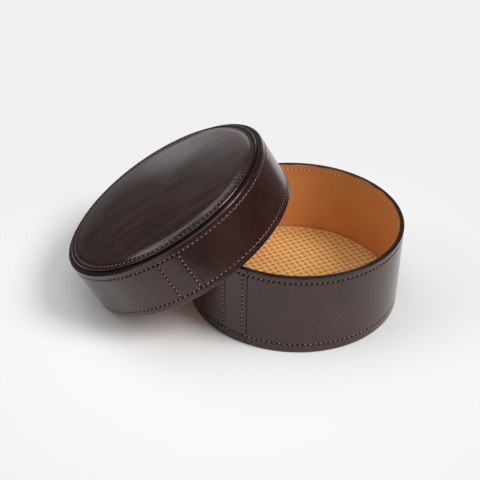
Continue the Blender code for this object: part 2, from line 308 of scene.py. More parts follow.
def run(start, end, count=2):
    """Points on a straight run, kept a guard's length away from both ends."""
    start, end = np.array(start, float), np.array(end, float)
    along = (end - start) / np.linalg.norm(end - start)
    return np.linspace(start + along * GUARD, end - along * GUARD, count)


def upright_face(radius, heights):
    """The outer face of a wall: one radius at all the heights given."""
    return np.stack([np.full(len(heights), radius), heights], axis=-1)


def join(*parts):
    """One section from its parts, as an array of radii and an array of heights."""
    whole = np.concatenate([np.atleast_2d(np.array(part, float)) for part in parts])
    return whole[:, 0], whole[:, 1]


# %% [markdown]
# The small unevenness of hand work
#
# A perfect circle looks machined. A sum of a few sine waves with seeded phases gives a smooth wave
# that closes on itself, and a tenth of a millimetre of it is enough to make a reflection wander.

# %% Waves, furrows, bells and steps


def hand_wave(azimuths, seed, lowest=2, highest=9):
    """A closed wave of about unit height: sines of whole counts round the ring, weaker as they rise."""
    draw = np.random.default_rng(seed)
    counts = np.arange(lowest, highest + 1)
    phases = draw.uniform(0, math.tau, len(counts))
    weights = 1 / counts
    waves = np.sin(azimuths[..., None] * counts + phases) * weights
    return waves.sum(-1) / np.sqrt((weights**2).sum() / 2) / 1.6


def furrow(distance, half_width):
    """A rounded groove, 1 in the middle and 0 from the half width on: (1 - (d / w)^2)^2."""
    return np.clip(1 - (distance / half_width) ** 2, 0, None) ** 2


def bell(distance, reach):
    """1 at distance 0, falling off smoothly on both sides: exp(-(d / r)^2)."""
    return np.exp(-((distance / reach) ** 2))


def soft_step(value, start, end):
    """0 before the start and 1 after the end, with no corner between: 3t^2 - 2t^3."""
    share = np.clip((value - start) / (end - start), 0, 1)
    return share * share * (3 - 2 * share)


def arc_gap(azimuths, centre, radius):
    """How far along the wall each azimuth lies from a centre, in metres, the short way round."""
    return ((azimuths - centre + math.pi) % math.tau - math.pi) * radius


# %% [markdown]
# Where the samples go
#
# Saddle stitches repeat every four millimetres or so, and a hole shows only if a grid line runs
# through it. So the grid is laid out by the stitches: five lines to each stitch round the wall, and
# five up the upright rows. Extra lines crowd in at the lap's edge, which is finer than any stitch.

# %% Stitch spacing and sample lines
STITCH_PITCH = 3.95 * MM
LINES_PER_STITCH = 5
FURROW_HALF_WIDTH = 1.0 * MM
FURROW_DEPTH = 0.16 * MM
FURROW_FADE = 1.2 * MM
LINE_CLEARANCE = 0.3 * MM
THREAD_SINK = 0.30 * MM
HOLE_DEPTH = 0.80 * MM
HOLE_REACH = 0.58 * MM
LAP_MARGIN = 3.8 * MM
LAP_STEP = 0.12 * MM
BASE_LAP_GROOVE = 0.34 * MM
LID_LAP_GROOVE = 0.12 * MM
LAP_GROOVE_REACH = 0.26 * MM
LAP_FADE = 22 * MM
LAP_SHADE = 0.8
ACROSS_FURROW_SHARES = np.array([-1, -0.7, -0.35, 0, 0.35, 0.7, 1])
LAP_LINES = np.array([-2.2, -0.9, -0.45, -0.25, -0.1, 0, 0.1, 0.25, 0.5, 1.2]) * MM


def stitch_count(radius):
    return round(math.tau * radius / STITCH_PITCH)


def thin_out(values, least):
    """Sorted values with those dropped that follow another by less than the least step."""
    values = np.sort(values)
    keep = np.concatenate([[True], np.diff(values) > least])
    return values[keep]


def wall_azimuths(radius, seam):
    """Sample lines round a wall: evenly by stitches, and crowded at the seam's rows and its lap."""
    count = stitch_count(radius) * LINES_PER_STITCH
    even = np.arange(count) / count * math.tau
    left, right = (row[0] for row in seam)
    furrow_lines = ACROSS_FURROW_SHARES * FURROW_HALF_WIDTH / radius
    lap = right + LAP_MARGIN / radius
    extra = np.concatenate([left + furrow_lines, right + furrow_lines, lap + LAP_LINES / radius])
    near = np.abs((even[:, None] - extra + math.pi) % math.tau - math.pi).min(1)
    kept = even[near > LINE_CLEARANCE / radius]
    return np.sort(np.concatenate([kept, extra % math.tau]))


def upright_holes(row):
    """Heights of the awl holes of an upright row: whole stitches fitted into its span."""
    low, high = row[1:]
    count = round((high - low) / STITCH_PITCH)
    return np.linspace(low, high, count + 1)


def wall_heights(low, high, rings, seam):
    """Sample lines up a wall: across each ring furrow, and five to each stitch of the seam."""
    holes = upright_holes(seam[0])
    pitch = holes[1] - holes[0]
    stitches = len(holes) - 1
    upright = holes[0] + np.arange(stitches * LINES_PER_STITCH + 1) / LINES_PER_STITCH * pitch
    across = [ring + ACROSS_FURROW_SHARES * FURROW_HALF_WIDTH for ring in rings]
    margins = np.concatenate([np.linspace(low, holes[0], 9), np.linspace(holes[-1], high, 8)])
    near = np.abs(margins[:, None] - np.concatenate(across)).min(1)
    spare = margins[near > LINE_CLEARANCE]
    heights = np.concatenate([upright, *across, spare])
    return thin_out(heights[(heights >= low) & (heights <= high)], 0.12 * MM)


# %% [markdown]
# The pushes of a stitched wall
#
# Everything that shapes a wall's outside is one sum. Each ring of stitches lies in a furrow drawn
# before sewing, and each awl hole is a small pit in it. The two upright furrows stop at the rings.
# At the lap the strip's outer end is pared thin: the surface dips in a fine groove there, and goes on
# a little lower before it comes back, so the end catches the light as a thin upright line.

# %% Shape of a wall's outside


def ring_holes(azimuths, heights, ring, radius):
    """1 in the awl holes of a ring row and 0 away from them: a bell round the nearest hole."""
    count = stitch_count(radius)
    step = math.tau / count
    gap = ((azimuths / step + 0.5) % 1 - 0.5) * step * radius
    return np.exp(-(gap[:, None] ** 2 + (heights[None, :] - ring) ** 2) / HOLE_REACH**2)


def hole_shade(holes):
    """How much painted shade an awl hole gets: full before its deepest point is reached."""
    return np.clip(holes * 1.4, 0, 1)


def seam_holes(azimuths, heights, row, radius):
    """1 in the awl holes of an upright row and 0 away from them."""
    holes = upright_holes(row)
    gap = arc_gap(azimuths, row[0], radius)
    rise = np.abs(heights[:, None] - holes).min(1)
    return np.exp(-(gap[:, None] ** 2 + rise[None, :] ** 2) / HOLE_REACH**2)


def lap_push(azimuths, seam, radius, depth):
    """The lap's edge: a bell-shaped groove, then a step down that fades out along the wall."""
    gap = arc_gap(azimuths, seam[1][0] + LAP_MARGIN / radius, radius)
    groove = depth * bell(gap, LAP_GROOVE_REACH)
    fade = soft_step(gap, -LAP_GROOVE_REACH, LAP_GROOVE_REACH) * (1 - soft_step(gap, 0, LAP_FADE))
    return -groove - LAP_STEP * fade


def wall_shape(azimuths, heights, rings, seam, radius, lap_groove):
    """The push of each point of a wall's outer face, and how much it is darkened: painted shade in the awl
    holes, and the dark line of the lap.
    """
    push = np.zeros((len(azimuths), len(heights)))
    holes = np.zeros_like(push)
    for ring in rings:
        push -= FURROW_DEPTH * furrow(heights - ring, FURROW_HALF_WIDTH)
        holes = np.maximum(holes, ring_holes(azimuths, heights, ring, radius))
    for row in seam:
        begun = soft_step(heights, row[1] - FURROW_FADE, row[1])
        inside = begun * (1 - soft_step(heights, row[2], row[2] + FURROW_FADE))
        across = furrow(arc_gap(azimuths, row[0], radius), FURROW_HALF_WIDTH)
        push -= FURROW_DEPTH * across[:, None] * inside
        holes = np.maximum(holes, seam_holes(azimuths, heights, row, radius))
    push += lap_push(azimuths, seam, radius, lap_groove)[:, None] - HOLE_DEPTH * holes
    gap = arc_gap(azimuths, seam[1][0] + LAP_MARGIN / radius, radius)
    line = bell(gap, LAP_GROOVE_REACH) * lap_groove / BASE_LAP_GROOVE
    return push, np.maximum(hole_shade(holes), LAP_SHADE * line[:, None])


# %% [markdown]
# Nodes without the clutter
#
# A shader is a graph, and most of the lines that build one only say what feeds what. One helper adds
# a node and fills its inputs, where each input is either a plain value or another node's output.
# Numbers that stay the same all over a surface are set on the shader itself, and a last helper
# feeds it what changes from place to place.

# %% Shader helpers


def add_node(tree, kind, inputs=None, **settings):
    """Adds a shader node, sets its fields, and gives each input a value or a link."""
    made = tree.nodes.new(kind)
    for field, value in settings.items():
        setattr(made, field, value)
    for key, value in (inputs or {}).items():
        if isinstance(value, bpy.types.NodeSocket):
            tree.links.new(value, made.inputs[key])
        else:
            made.inputs[key].default_value = value
    return made


def colour_mix(tree, share, first, second):
    """One colour laid over another by a share."""
    made = add_node(tree, "ShaderNodeMix", {0: share}, data_type="RGBA")
    for key, value in ((6, first), (7, second)):
        if isinstance(value, bpy.types.NodeSocket):
            tree.links.new(value, made.inputs[key])
        else:
            made.inputs[key].default_value = (*value, 1)
    return made.outputs[2]


def span(tree, value, low, high, start=0.0, end=1.0):
    """A value between low and high mapped to run from start to end, and held there outside."""
    inputs = {"Value": value, "From Min": low, "From Max": high, "To Min": start, "To Max": end}
    return add_node(tree, "ShaderNodeMapRange", inputs).outputs["Result"]


def maths(tree, operation, first, second=0.0):
    return add_node(tree, "ShaderNodeMath", {0: first, 1: second}, operation=operation).outputs[0]


def attribute(tree, name):
    return add_node(tree, "ShaderNodeAttribute", attribute_name=name).outputs["Fac"]


def noise(tree, place, scale, detail=3.0, roughness=0.55, distortion=0.0):
    """Soft cloudy noise, with its scale in features per metre."""
    inputs = {"Vector": place, "Scale": scale, "Detail": detail}
    inputs |= {"Roughness": roughness, "Distortion": distortion}
    return add_node(tree, "ShaderNodeTexNoise", inputs).outputs["Fac"]


def bump(tree, height, distance, strength=1.0, under=None):
    """Tilts the surface as a height of so many metres would; under is the bump below it."""
    inputs = {"Height": height, "Distance": distance, "Strength": strength}
    if under is not None:
        inputs["Normal"] = under
    return add_node(tree, "ShaderNodeBump", inputs).outputs["Normal"]


def start_material(name, **values):
    """A material, its node tree and its shader, with the given values set on the shader."""
    material = bpy.data.materials.new(name)
    material.use_nodes = True
    tree = material.node_tree
    shader = tree.nodes["Principled BSDF"]
    for key, value in values.items():
        shader.inputs[key.replace("_", " ")].default_value = value
    return material, tree, shader


def feed(tree, shader, **outputs):
    """Links outputs to inputs of the shader; an underscore stands for the space in a name."""
    for key, output in outputs.items():
        tree.links.new(output, shader.inputs[key.replace("_", " ")])


def own_place(tree):
    return add_node(tree, "ShaderNodeTexCoord").outputs["Object"]


# %% [markdown]
# Bridle leather
#
# Bridle leather is cowhide that was dressed with tallow and wax and polished, so it has a tight fine
# grain, an uneven depth of dye and a soft gloss. Close cells of Voronoi noise make the pebbles of the
# grain, a finer noise makes its pores, and broad clouds move the dye and the polish. The wall's own
# attributes say where its cut edges were inked and where an awl went through, which gets painted
# shade.

# %% Bridle leather material
DYE_DEEP = (0.023, 0.0088, 0.0078)
DYE_WORN = (0.042, 0.0170, 0.0145)
EDGE_INK = (0.009, 0.0055, 0.005)
# The colour of the painted shade in the awl holes.
HOLE_PAINTED_SHADE = (0.003, 0.0018, 0.0015)
SHINE_TINT = (1.0, 0.88, 0.865, 1.0)
GRAIN_DEPTH = 0.016 * MM
PANEL_DYES = ((0.0200, 0.0100, 0.0092), (0.0370, 0.0190, 0.0168))
STREAK_DEPTH = 0.009 * MM
STREAK_LENGTH = 50 * MM
STREAK_WIDTH = 2.2 * MM
# The colour of the painted sheen along the brush streaks.
STREAK_PAINTED_SHEEN = (0.046, 0.0265, 0.0245)
STREAK_GLEAM = (0.40, 0.62)
# How far dull places are painted darker, toward the ink's colour.
DULL_DARKENING = 0.6
DULL_ROUGHNESS = 0.35
DULL_GLEAM = 0.12


def grain_height(tree, place, cells=1500):
    """Pebbled grain: rounded cells, their valleys softened, with pores of fine noise between."""
    warp = noise(tree, place, cells * 0.6, detail=2)
    shift = add_node(tree, "ShaderNodeVectorMath", {0: place}, operation="ADD")
    tree.links.new(maths(tree, "MULTIPLY", warp, 0.35 / cells), shift.inputs[1])
    inputs = {"Vector": shift.outputs[0], "Scale": cells, "Randomness": 0.95, "Smoothness": 0.55}
    cell = add_node(tree, "ShaderNodeTexVoronoi", inputs, feature="SMOOTH_F1").outputs["Distance"]
    return maths(tree, "ADD", maths(tree, "MULTIPLY", cell, -0.8), noise(tree, place, cells * 2.2, detail=2))


def bridle_leather(name, gloss=0.20, dyes=(DYE_DEEP, DYE_WORN), streak_turn=None):
    """Dark polished hide. A streak turn gives it brush strokes, which run along the turned X axis, with
    painted sheen along them.
    """
    coat = {"Coat_Roughness": 0.12, "Coat_IOR": 1.45}
    material, tree, shader = start_material(name, Specular_Tint=SHINE_TINT, **coat)
    place = own_place(tree)
    clouds = noise(tree, place, 26, detail=4, roughness=0.6)
    fine = noise(tree, place, 210, detail=3)
    depth = span(tree, maths(tree, "ADD", clouds, maths(tree, "MULTIPLY", fine, 0.35)), 0.50, 0.86)
    colour = colour_mix(tree, depth, *dyes)
    grain = grain_height(tree, place)
    gleam = 0.5
    polish = span(tree, clouds, 0.3, 0.7, gloss - 0.035, gloss + 0.045)
    normal = bump(tree, grain, GRAIN_DEPTH, 0.55)
    if streak_turn:
        stroke = (STREAK_LENGTH, STREAK_WIDTH, STREAK_WIDTH)
        inputs = {"Vector": place, "Rotation": streak_turn, "Scale": stroke}
        mapped = add_node(tree, "ShaderNodeMapping", inputs, vector_type="TEXTURE")
        brush = noise(tree, mapped.outputs[0], 1.0, detail=2, roughness=0.5)
        gleam = span(tree, brush, 0.34, 0.66, *STREAK_GLEAM)
        # Painted sheen: along the brush streaks the colour turns lighter and greyer.
        colour = colour_mix(tree, span(tree, brush, 0.40, 0.64), colour, STREAK_PAINTED_SHEEN)
        normal = bump(tree, brush, STREAK_DEPTH, 1.0, normal)
    ink, hole, dull = (attribute(tree, label) for label in ("ink", "hole", "dull"))
    # Dull places are painted darker, toward the ink's colour: the stitch furrows, the sewn margin, the ledge
    # and the rim.
    colour = colour_mix(tree, maths(tree, "MULTIPLY", dull, DULL_DARKENING), colour, EDGE_INK)
    colour = colour_mix(tree, ink, colour, EDGE_INK)
    # Awl holes get painted shade; on the walls the lap's line is darkened with them.
    colour = colour_mix(tree, hole, colour, HOLE_PAINTED_SHADE)
    polish = maths(tree, "ADD", polish, maths(tree, "MULTIPLY", ink, -0.05))
    polish = maths(tree, "ADD", polish, maths(tree, "MULTIPLY", dull, DULL_ROUGHNESS))
    hidden = maths(tree, "MAXIMUM", span(tree, hole, 0.0, 0.6), dull)
    level = span(tree, hidden, 0.0, 1.0, gleam, DULL_GLEAM)
    shine = maths(tree, "MULTIPLY", span(tree, ink, 0.0, 1.0, 0.5, 1.8), gleam)
    shine = maths(tree, "ADD", shine, maths(tree, "MULTIPLY", hidden, -0.9))
    shine = maths(tree, "MAXIMUM", shine, 0.0)
    feed(tree, shader, Base_Color=colour, Roughness=polish, Specular_IOR_Level=level,
         Coat_Weight=shine, Normal=normal)
    return material


WALL_LEATHER = bridle_leather("bridle_leather")
CAP_LEATHER = bridle_leather("bridle_leather_caps", gloss=0.24)
print("materials so far:", [material.name for material in (WALL_LEATHER, CAP_LEATHER)])

# %% [markdown]
# Tan lining leather
#
# The lining is thin natural hide, only oiled, so its colour is its own tan, a little uneven, with
# fine pores and almost no gloss. Where the edge ink of the rim runs over it, it turns dark.

# %% Tan leather materials
TAN_PALE = (0.79, 0.37, 0.130)
TAN_DEEP = (0.67, 0.275, 0.085)
PAD_PALE = (0.86, 0.54, 0.195)
PAD_DEEP = (0.72, 0.40, 0.128)
# The colour of painted shade in the tan leather's hollows and holes.
TAN_PAINTED_SHADE = (0.26, 0.095, 0.026)


def tan_leather(name, pale, deep, gloss=0.38):
    """Natural hide: two tans in soft clouds, pores, an inked edge, and painted shade in tooled hollows and
    awl holes.
    """
    material, tree, shader = start_material(name, Specular_IOR_Level=0.45)
    place = own_place(tree)
    clouds = noise(tree, place, 32, detail=5, roughness=0.62)
    pores = noise(tree, place, 1300, detail=3, roughness=0.6)
    colour = colour_mix(tree, span(tree, clouds, 0.25, 0.80), deep, pale)
    colour = colour_mix(tree, span(tree, pores, 0.56, 0.74, 0.0, 0.45), colour, deep)
    # Painted shade: the tooled hollows and the awl holes are darkened.
    colour = colour_mix(tree, attribute(tree, "hollow"), colour, TAN_PAINTED_SHADE)
    colour = colour_mix(tree, maths(tree, "MULTIPLY", attribute(tree, "hole"), 0.6), colour, TAN_PAINTED_SHADE)
    ink = attribute(tree, "ink")
    colour = colour_mix(tree, ink, colour, EDGE_INK)
    polish = span(tree, clouds, 0.3, 0.7, gloss - 0.05, gloss + 0.07)
    feed(tree, shader, Base_Color=colour, Roughness=polish, Normal=bump(tree, pores, 0.03 * MM, 0.6))
    return material


LINING_LEATHER = tan_leather("tan_lining_leather", TAN_PALE, TAN_DEEP)
PAD_LEATHER = tan_leather("tooled_pad_leather", PAD_PALE, PAD_DEEP, gloss=0.42)

# %% [markdown]
# Waxed linen thread
#
# The thread is a cord of plied linen drawn through wax. Its plies wind round it, so on a UV map with
# the thread's length one way and its girth the other they are slanted stripes. The stripes need
# only a gentle bump and a line of painted shade between plies to read as twist.

# %% Thread, board and felt materials
THREAD_LIT = (0.70, 0.39, 0.27)
THREAD_SHADE = (0.22, 0.095, 0.063)
PLY_TURNS = 5.0
INNER_LIT = (0.82, 0.54, 0.31)
INNER_SHADE = (0.58, 0.31, 0.14)
BOARD_GREY = (0.34, 0.30, 0.24)
FELT_PALE = (0.58, 0.55, 0.49)


def linen_thread(name, lit, shade):
    """Stripes of sin(2 pi (turns u + v)): u runs along a stitch, v round the thread."""
    material, tree, shader = start_material(name, Roughness=0.6, Specular_IOR_Level=0.25)
    uv = add_node(tree, "ShaderNodeUVMap", uv_map="UVMap").outputs["UV"]
    part = add_node(tree, "ShaderNodeSeparateXYZ", {0: uv})
    along = maths(tree, "MULTIPLY", part.outputs["X"], PLY_TURNS)
    turns = maths(tree, "ADD", along, part.outputs["Y"])
    ply = maths(tree, "SINE", maths(tree, "MULTIPLY", turns, math.tau))
    fibre = noise(tree, own_place(tree), 2600, detail=2)
    # The lit and shade colours are mixed by the ply stripes: painted shade between the plies.
    dark = span(tree, maths(tree, "ADD", ply, fibre), -0.6, 0.7, 0.75, 0.0)
    colour = colour_mix(tree, dark, lit, shade)
    feed(tree, shader, Base_Color=colour, Normal=bump(tree, ply, 0.06 * MM, 0.8))
    return material


def fibrous(name, colour, scale, depth):
    """A dull stuff of short fibres: card or felt, by the scale of its noise and its depth."""
    material, tree, shader = start_material(name, Roughness=0.92, Specular_IOR_Level=0.15)
    place = own_place(tree)
    fibres = noise(tree, place, scale, detail=6, roughness=0.7, distortion=0.8)
    darker = tuple(part * 0.62 for part in colour)
    mixed = colour_mix(tree, span(tree, fibres, 0.35, 0.65), darker, colour)
    feed(tree, shader, Base_Color=mixed, Normal=bump(tree, fibres, depth))
    return material


THREAD = linen_thread("waxed_linen_thread", THREAD_LIT, THREAD_SHADE)
INNER_THREAD = linen_thread("clean_linen_thread", INNER_LIT, INNER_SHADE)
BOARD = fibrous("grey_board", BOARD_GREY, 700, 0.05 * MM)
FELT = fibrous("wool_felt", FELT_PALE, 420, 0.20 * MM)

# %% [markdown]
# The two walls
#
# Each wall is a strip of bridle leather 2.4 mm thick, bent round and lapped on itself. It is built
# as one ring whose section runs up the outer face, over the inked edge, down the inner face and
# back. Only the outer face needs many samples. Inside the closed end the leather is skived thin for
# the turned flange of the cap, so the section steps back there. The lid is the base turned over:
# its closed end, the ledge, is up.

# %% Build the walls
SKIVE = 1.2 * MM
SKIVE_REACH = 12.3 * MM
OPEN_ROUNDING = 0.7 * MM
# The next two together stay under WALL_THICKNESS - SKIVE, or the closed edge has no length.
CLOSED_ROUNDING = 0.7 * MM
INNER_ROUNDING = 0.25 * MM
INK_REACH = 0.30 * MM
RIM_DULL = 0.75
FLAT_STEPS = 3


def wall_section(radius, height, rings, seam, closed_at_foot):
    """A wall's section, and how many of its points belong to the outer face and its two corners."""
    inner = radius - WALL_THICKNESS
    closed_end, open_end = (CLOSED_ROUNDING, inner + SKIVE), (OPEN_ROUNDING, inner)
    ends = (closed_end, open_end) if closed_at_foot else (open_end, closed_end)
    (foot_round, foot_inner), (brim_round, brim_inner) = ends
    heights = wall_heights(foot_round + GUARD, height - brim_round - GUARD, rings, seam)
    outside = [
        arc((radius - foot_round, foot_round), foot_round, -90, 0),
        upright_face(radius, heights),
        arc((radius - brim_round, height - brim_round), brim_round, 0, 90),
    ]
    shoulder = SKIVE_REACH if closed_at_foot else height - SKIVE_REACH
    inside = [
        run((radius - brim_round, height), (brim_inner + INNER_ROUNDING, height), FLAT_STEPS),
        arc((brim_inner + INNER_ROUNDING, height - INNER_ROUNDING), INNER_ROUNDING, 90, 180, 3),
        run((brim_inner, height - INNER_ROUNDING), (brim_inner, shoulder), FLAT_STEPS),
        run((foot_inner, shoulder), (foot_inner, INNER_ROUNDING), FLAT_STEPS),
        arc((foot_inner + INNER_ROUNDING, INNER_ROUNDING), INNER_ROUNDING, 180, 270, 3),
        run((foot_inner + INNER_ROUNDING, 0), (radius - foot_round, 0), FLAT_STEPS),
    ]
    return join(*outside, *inside), sum(len(part) for part in outside)


def add_wall(name, body, body_name, radius, height, rings, seam, lap_groove):
    """A lapped and stitched wall: pushed on its outside, inked at its edges, dull along its rows."""
    azimuths = wall_azimuths(radius, seam)
    section, outer_count = wall_section(radius, height, rings, seam, body_name == "base")
    radii, heights = section
    push, holes, dull = np.zeros((3, len(azimuths), len(radii)))
    outside = wall_shape(azimuths, heights[:outer_count], rings, seam, radius, lap_groove)
    push[:, :outer_count], holes[:, :outer_count] = outside
    for ring in rings:
        dull = np.maximum(dull, furrow(heights - ring, FURROW_HALF_WIDTH))
    if body_name == "base":
        dull = np.maximum(dull, RIM_DULL * (heights > height - OPEN_ROUNDING - GUARD))
    ragged = INK_REACH * (1 + 0.5 * hand_wave(azimuths, 53, 20, 60))[:, None]
    edge = np.minimum(heights, height - heights)[None, :]
    ink = 1 - soft_step(edge, CLOSED_ROUNDING, CLOSED_ROUNDING + ragged)
    ink[:, outer_count:] = 1
    paints = {"ink": ink, "hole": holes, "dull": dull}
    piece = turned_piece(name, body, azimuths, section, push, paints=paints)
    return settle(piece, body_name, f"{body_name}_wall", WALL_LEATHER)


BASE_RINGS = (BASE_FOOT_ROW, BASE_RIM_ROW)
LID_RINGS = (LID_MOUTH_ROW, LID_LEDGE_ROW)
add_wall("base_strip", BASE, "base", BASE_RADIUS, BASE_HEIGHT, BASE_RINGS, BASE_SEAM, BASE_LAP_GROOVE)
add_wall("lid_strip", LID, "lid", LID_RADIUS, LID_HEIGHT, LID_RINGS, LID_SEAM, LID_LAP_GROOVE)

# %% [markdown]
# The linings
#
# A lining is a strip of thin tan leather glued inside its wall, its two ends butted. Its inner face is
# what shows. The saddle stitches come through it, so it has the same awl holes as the wall, and the
# edge ink of the rim laps over its top. Here the section runs down the inner face.

# %% Build the linings
LINING_THICKNESS = 0.9 * MM
LINING_ROUNDING = 0.4 * MM
LINING_INK = 0.45 * MM
LINING_CUT = 0.05 * MM
LINING_STEP = 1.2 * MM
LINING_LEAST = 0.1 * MM
LINING_CLEARANCE = 0.4 * MM
LINING_LINES_PER_STITCH = 4
LINING_HOLE_SPREAD = 0.9 * MM
LINING_HOLE_DEPTH = 0.25 * MM
RING_MARGIN = 1.5 * MM
BUTT_REACH = 0.18 * MM
BUTT_DEPTH = 0.25 * MM
BUTT_SHADE = 0.8
BUTT_LINES = np.array([-0.8, -0.35, -0.15, 0, 0.15, 0.35, 0.8]) * MM
BASE_BUTT = math.radians(236.4)
LID_BUTT = math.radians(276.8)


def add_lining(name, body, body_name, node, outer, low, high, rings, wall_radius, butt, open_top):
    """A lining ring: pitted by the awl inside, parted by a fine line where its ends meet."""
    inner = outer - LINING_THICKNESS
    outer = outer + GLUE_GAP - GLUE_PLAY
    count = stitch_count(wall_radius) * LINING_LINES_PER_STITCH
    even = np.arange(count) / count * math.tau
    extra = (butt + BUTT_LINES / inner) % math.tau
    azimuths = thin_out(np.concatenate([even, extra]), LINING_LEAST / inner)
    top_round = LINING_ROUNDING if open_top else LINING_CUT
    low_round = LINING_CUT if open_top else LINING_ROUNDING
    fitting = [ring for ring in rings if low + RING_MARGIN < ring < high - RING_MARGIN]
    across = [ring + ACROSS_FURROW_SHARES * LINING_HOLE_SPREAD for ring in fitting]
    even_heights = np.arange(low + low_round + GUARD, high - top_round - GUARD, LINING_STEP)
    near = np.abs(even_heights[:, None] - np.concatenate(across)).min(1)
    heights = thin_out(np.concatenate([even_heights[near > LINING_CLEARANCE], *across]), LINING_LEAST)
    heights = heights[(heights > low + low_round) & (heights < high - top_round)]
    section = join(
        run((outer, low), (outer, high), FLAT_STEPS),
        run((outer, high), (inner + top_round, high), FLAT_STEPS),
        arc((inner + top_round, high - top_round), top_round, 90, 180, 5),
        upright_face(inner, heights[::-1]),
        arc((inner + low_round, low + low_round), low_round, 180, 270, 5),
        run((inner + low_round, low), (outer, low), FLAT_STEPS),
    )
    radii, section_heights = section
    inside = (radii < inner + 0.01 * MM).astype(float)
    holes = np.zeros((len(azimuths), len(radii)))
    for ring in rings:
        holes = np.maximum(holes, ring_holes(azimuths, section_heights, ring, wall_radius) * inside)
    gap = arc_gap(azimuths, butt, inner)
    butt_line = bell(gap, BUTT_REACH)[:, None]
    push = -LINING_HOLE_DEPTH * holes - BUTT_DEPTH * butt_line * inside
    edge = (high - section_heights) if open_top else (section_heights - low)
    ragged = LINING_INK * (1 + 0.4 * hand_wave(azimuths, 61, 15, 50))[:, None]
    ink = 1 - soft_step(edge[None, :], ragged * 0.4, ragged)
    paints = {"ink": ink, "hole": np.maximum(holes, BUTT_SHADE * butt_line * inside)}
    piece = turned_piece(name, body, azimuths, section, push, paints=paints)
    return settle(piece, body_name, node, LINING_LEATHER)


add_lining("base_tan_strip", BASE, "base", "base_lining", BASE_LINING_RADIUS,
           BASE_LINING_LOW, BASE_HEIGHT, BASE_RINGS, BASE_RADIUS, BASE_BUTT, True)
add_lining("lid_tan_strip", LID, "lid", "lid_lining", LID_LINING_RADIUS,
           0.0, LID_LINING_HIGH, (LID_MOUTH_ROW,), LID_RADIUS, LID_BUTT, False)

# %% [markdown]
# Caps and ceiling
#
# The box is closed at each end by a blocked cap: leather pressed wet over a form, so that its edge
# turns through a right angle into a flange. The bottom cap is seen from below, and a narrow ring of
# the lid's cap, the ledge, is seen round the panel. These are plain turned discs.

# %% Build the caps and the ceiling lining
DISC_LINES = 256
CAP_THICKNESS = 1.8 * MM
FLANGE_THICKNESS = 0.9 * MM
BLOCKED_ROUNDING = 0.5 * MM
CEILING_ROUNDING = 0.3 * MM
PLATE_STEPS = 10


def disc_azimuths(count=DISC_LINES):
    return np.arange(count) / count * math.tau


def cap_section(radius, flange_end, plate_side):
    """The bottom cap's section, from the middle of its lower face round to that of its upper one."""
    inner = radius - FLANGE_THICKNESS
    soft = BLOCKED_ROUNDING
    plate_high = plate_side + CAP_THICKNESS
    return join(
        (0, plate_side),
        run((0, plate_side), (radius - soft, plate_side), PLATE_STEPS),
        arc((radius - soft, plate_side + soft), soft, -90, 0),
        run((radius, plate_side + soft), (radius, flange_end), 4),
        run((radius, flange_end), (inner, flange_end), 3),
        run((inner, flange_end), (inner, plate_high), 3),
        run((inner, plate_high), (0, plate_high), PLATE_STEPS),
        (0, plate_high),
    )


def turned_over(section):
    """A section upside down: its heights change sign and its points run the other way."""
    radii, heights = section
    return radii[::-1], -heights[::-1]


bottom_section = cap_section(BOTTOM_RADIUS, BOTTOM_HIGH, BOTTOM_LOW)
bottom = turned_piece("base_blocked_cap", BASE, disc_azimuths(), bottom_section, closed=False,
                      paints={"ink": 0, "hole": 0})
settle(bottom, "base", "base_bottom_cap", CAP_LEATHER)
top_section = turned_over(cap_section(CAP_RADIUS + GLUE_GAP - GLUE_PLAY, -CAP_LOW, -CAP_HIGH))
top = turned_piece("lid_blocked_cap", LID, disc_azimuths(), top_section, closed=False,
                   paints={"ink": 0.5, "hole": 0, "dull": 0.8})
settle(top, "lid", "lid_top_cap", CAP_LEATHER)

ceiling_section = join(
    (0, CEILING_LOW),
    run((0, CEILING_LOW), (CEILING_RADIUS - CEILING_ROUNDING, CEILING_LOW), 40),
    arc((CEILING_RADIUS - CEILING_ROUNDING, CEILING_LOW + CEILING_ROUNDING), CEILING_ROUNDING, -90, 0, 4),
    run((CEILING_RADIUS, CEILING_LOW + CEILING_ROUNDING), (CEILING_RADIUS, CEILING_HIGH), 2),
    run((CEILING_RADIUS, CEILING_HIGH), (0, CEILING_HIGH), 4),
    (0, CEILING_HIGH),
)
ceiling = turned_piece("lid_tan_ceiling", LID, disc_azimuths(), ceiling_section, closed=False,
                       paints={"ink": 0})
settle(ceiling, "lid", "lid_ceiling_lining", LINING_LEATHER)

# %% [markdown]
# The skin of the padded panel
#
# The panel on the lid is a leather disc over felt. Between the stitches that hold it down it is a
# skin which the felt presses up, and the cloth solver finds the shape of such a skin: a coarse disc of
# cloth on a flat bed, pinned all round and with a little spare leather at one place in front, is blown
# up for twenty frames. Polished leather would mirror every facet of that disc, so its heights are
# fitted with smooth functions that are 0 at the rim, (1 - s^2) s^(k + 2j) cos(k a) and sin(k a), with s
# the share of the radius and a the azimuth, and the fine panel reads its dome from those.

# %% Blow up the skin of the panel
PANEL_THICKNESS = 2.1 * MM
CROWN_INSET = 0.9 * MM
SLACK_PLACE = math.radians(274)
SLACK_REACH = math.radians(15)
SKIN_LINES = 72
SKIN_RINGS = 20
SKIN_FRAMES = 20
SKIN_PRESSURE = 1.0
SKIN_BED = 2.0 * MM
SKIN_CLOTH = {
    "quality": 6,
    "mass": 0.3,
    "air_damping": 5.0,
    "tension_stiffness": 80.0,
    "compression_stiffness": 80.0,
    "shear_stiffness": 40.0,
    "bending_stiffness": 5.0,
    "use_pressure": True,
    "uniform_pressure_force": SKIN_PRESSURE,
}
SPARE_RISE = 0.2 * MM
SPARE_SHARE = 0.82
SPARE_REACH = 0.14
PANEL_TOP = PANEL_BED + PANEL_THICKNESS
CROWN_RADIUS = PANEL_ROW_RADIUS - CROWN_INSET
CROWN_RISE = PANEL_APEX - PANEL_TOP


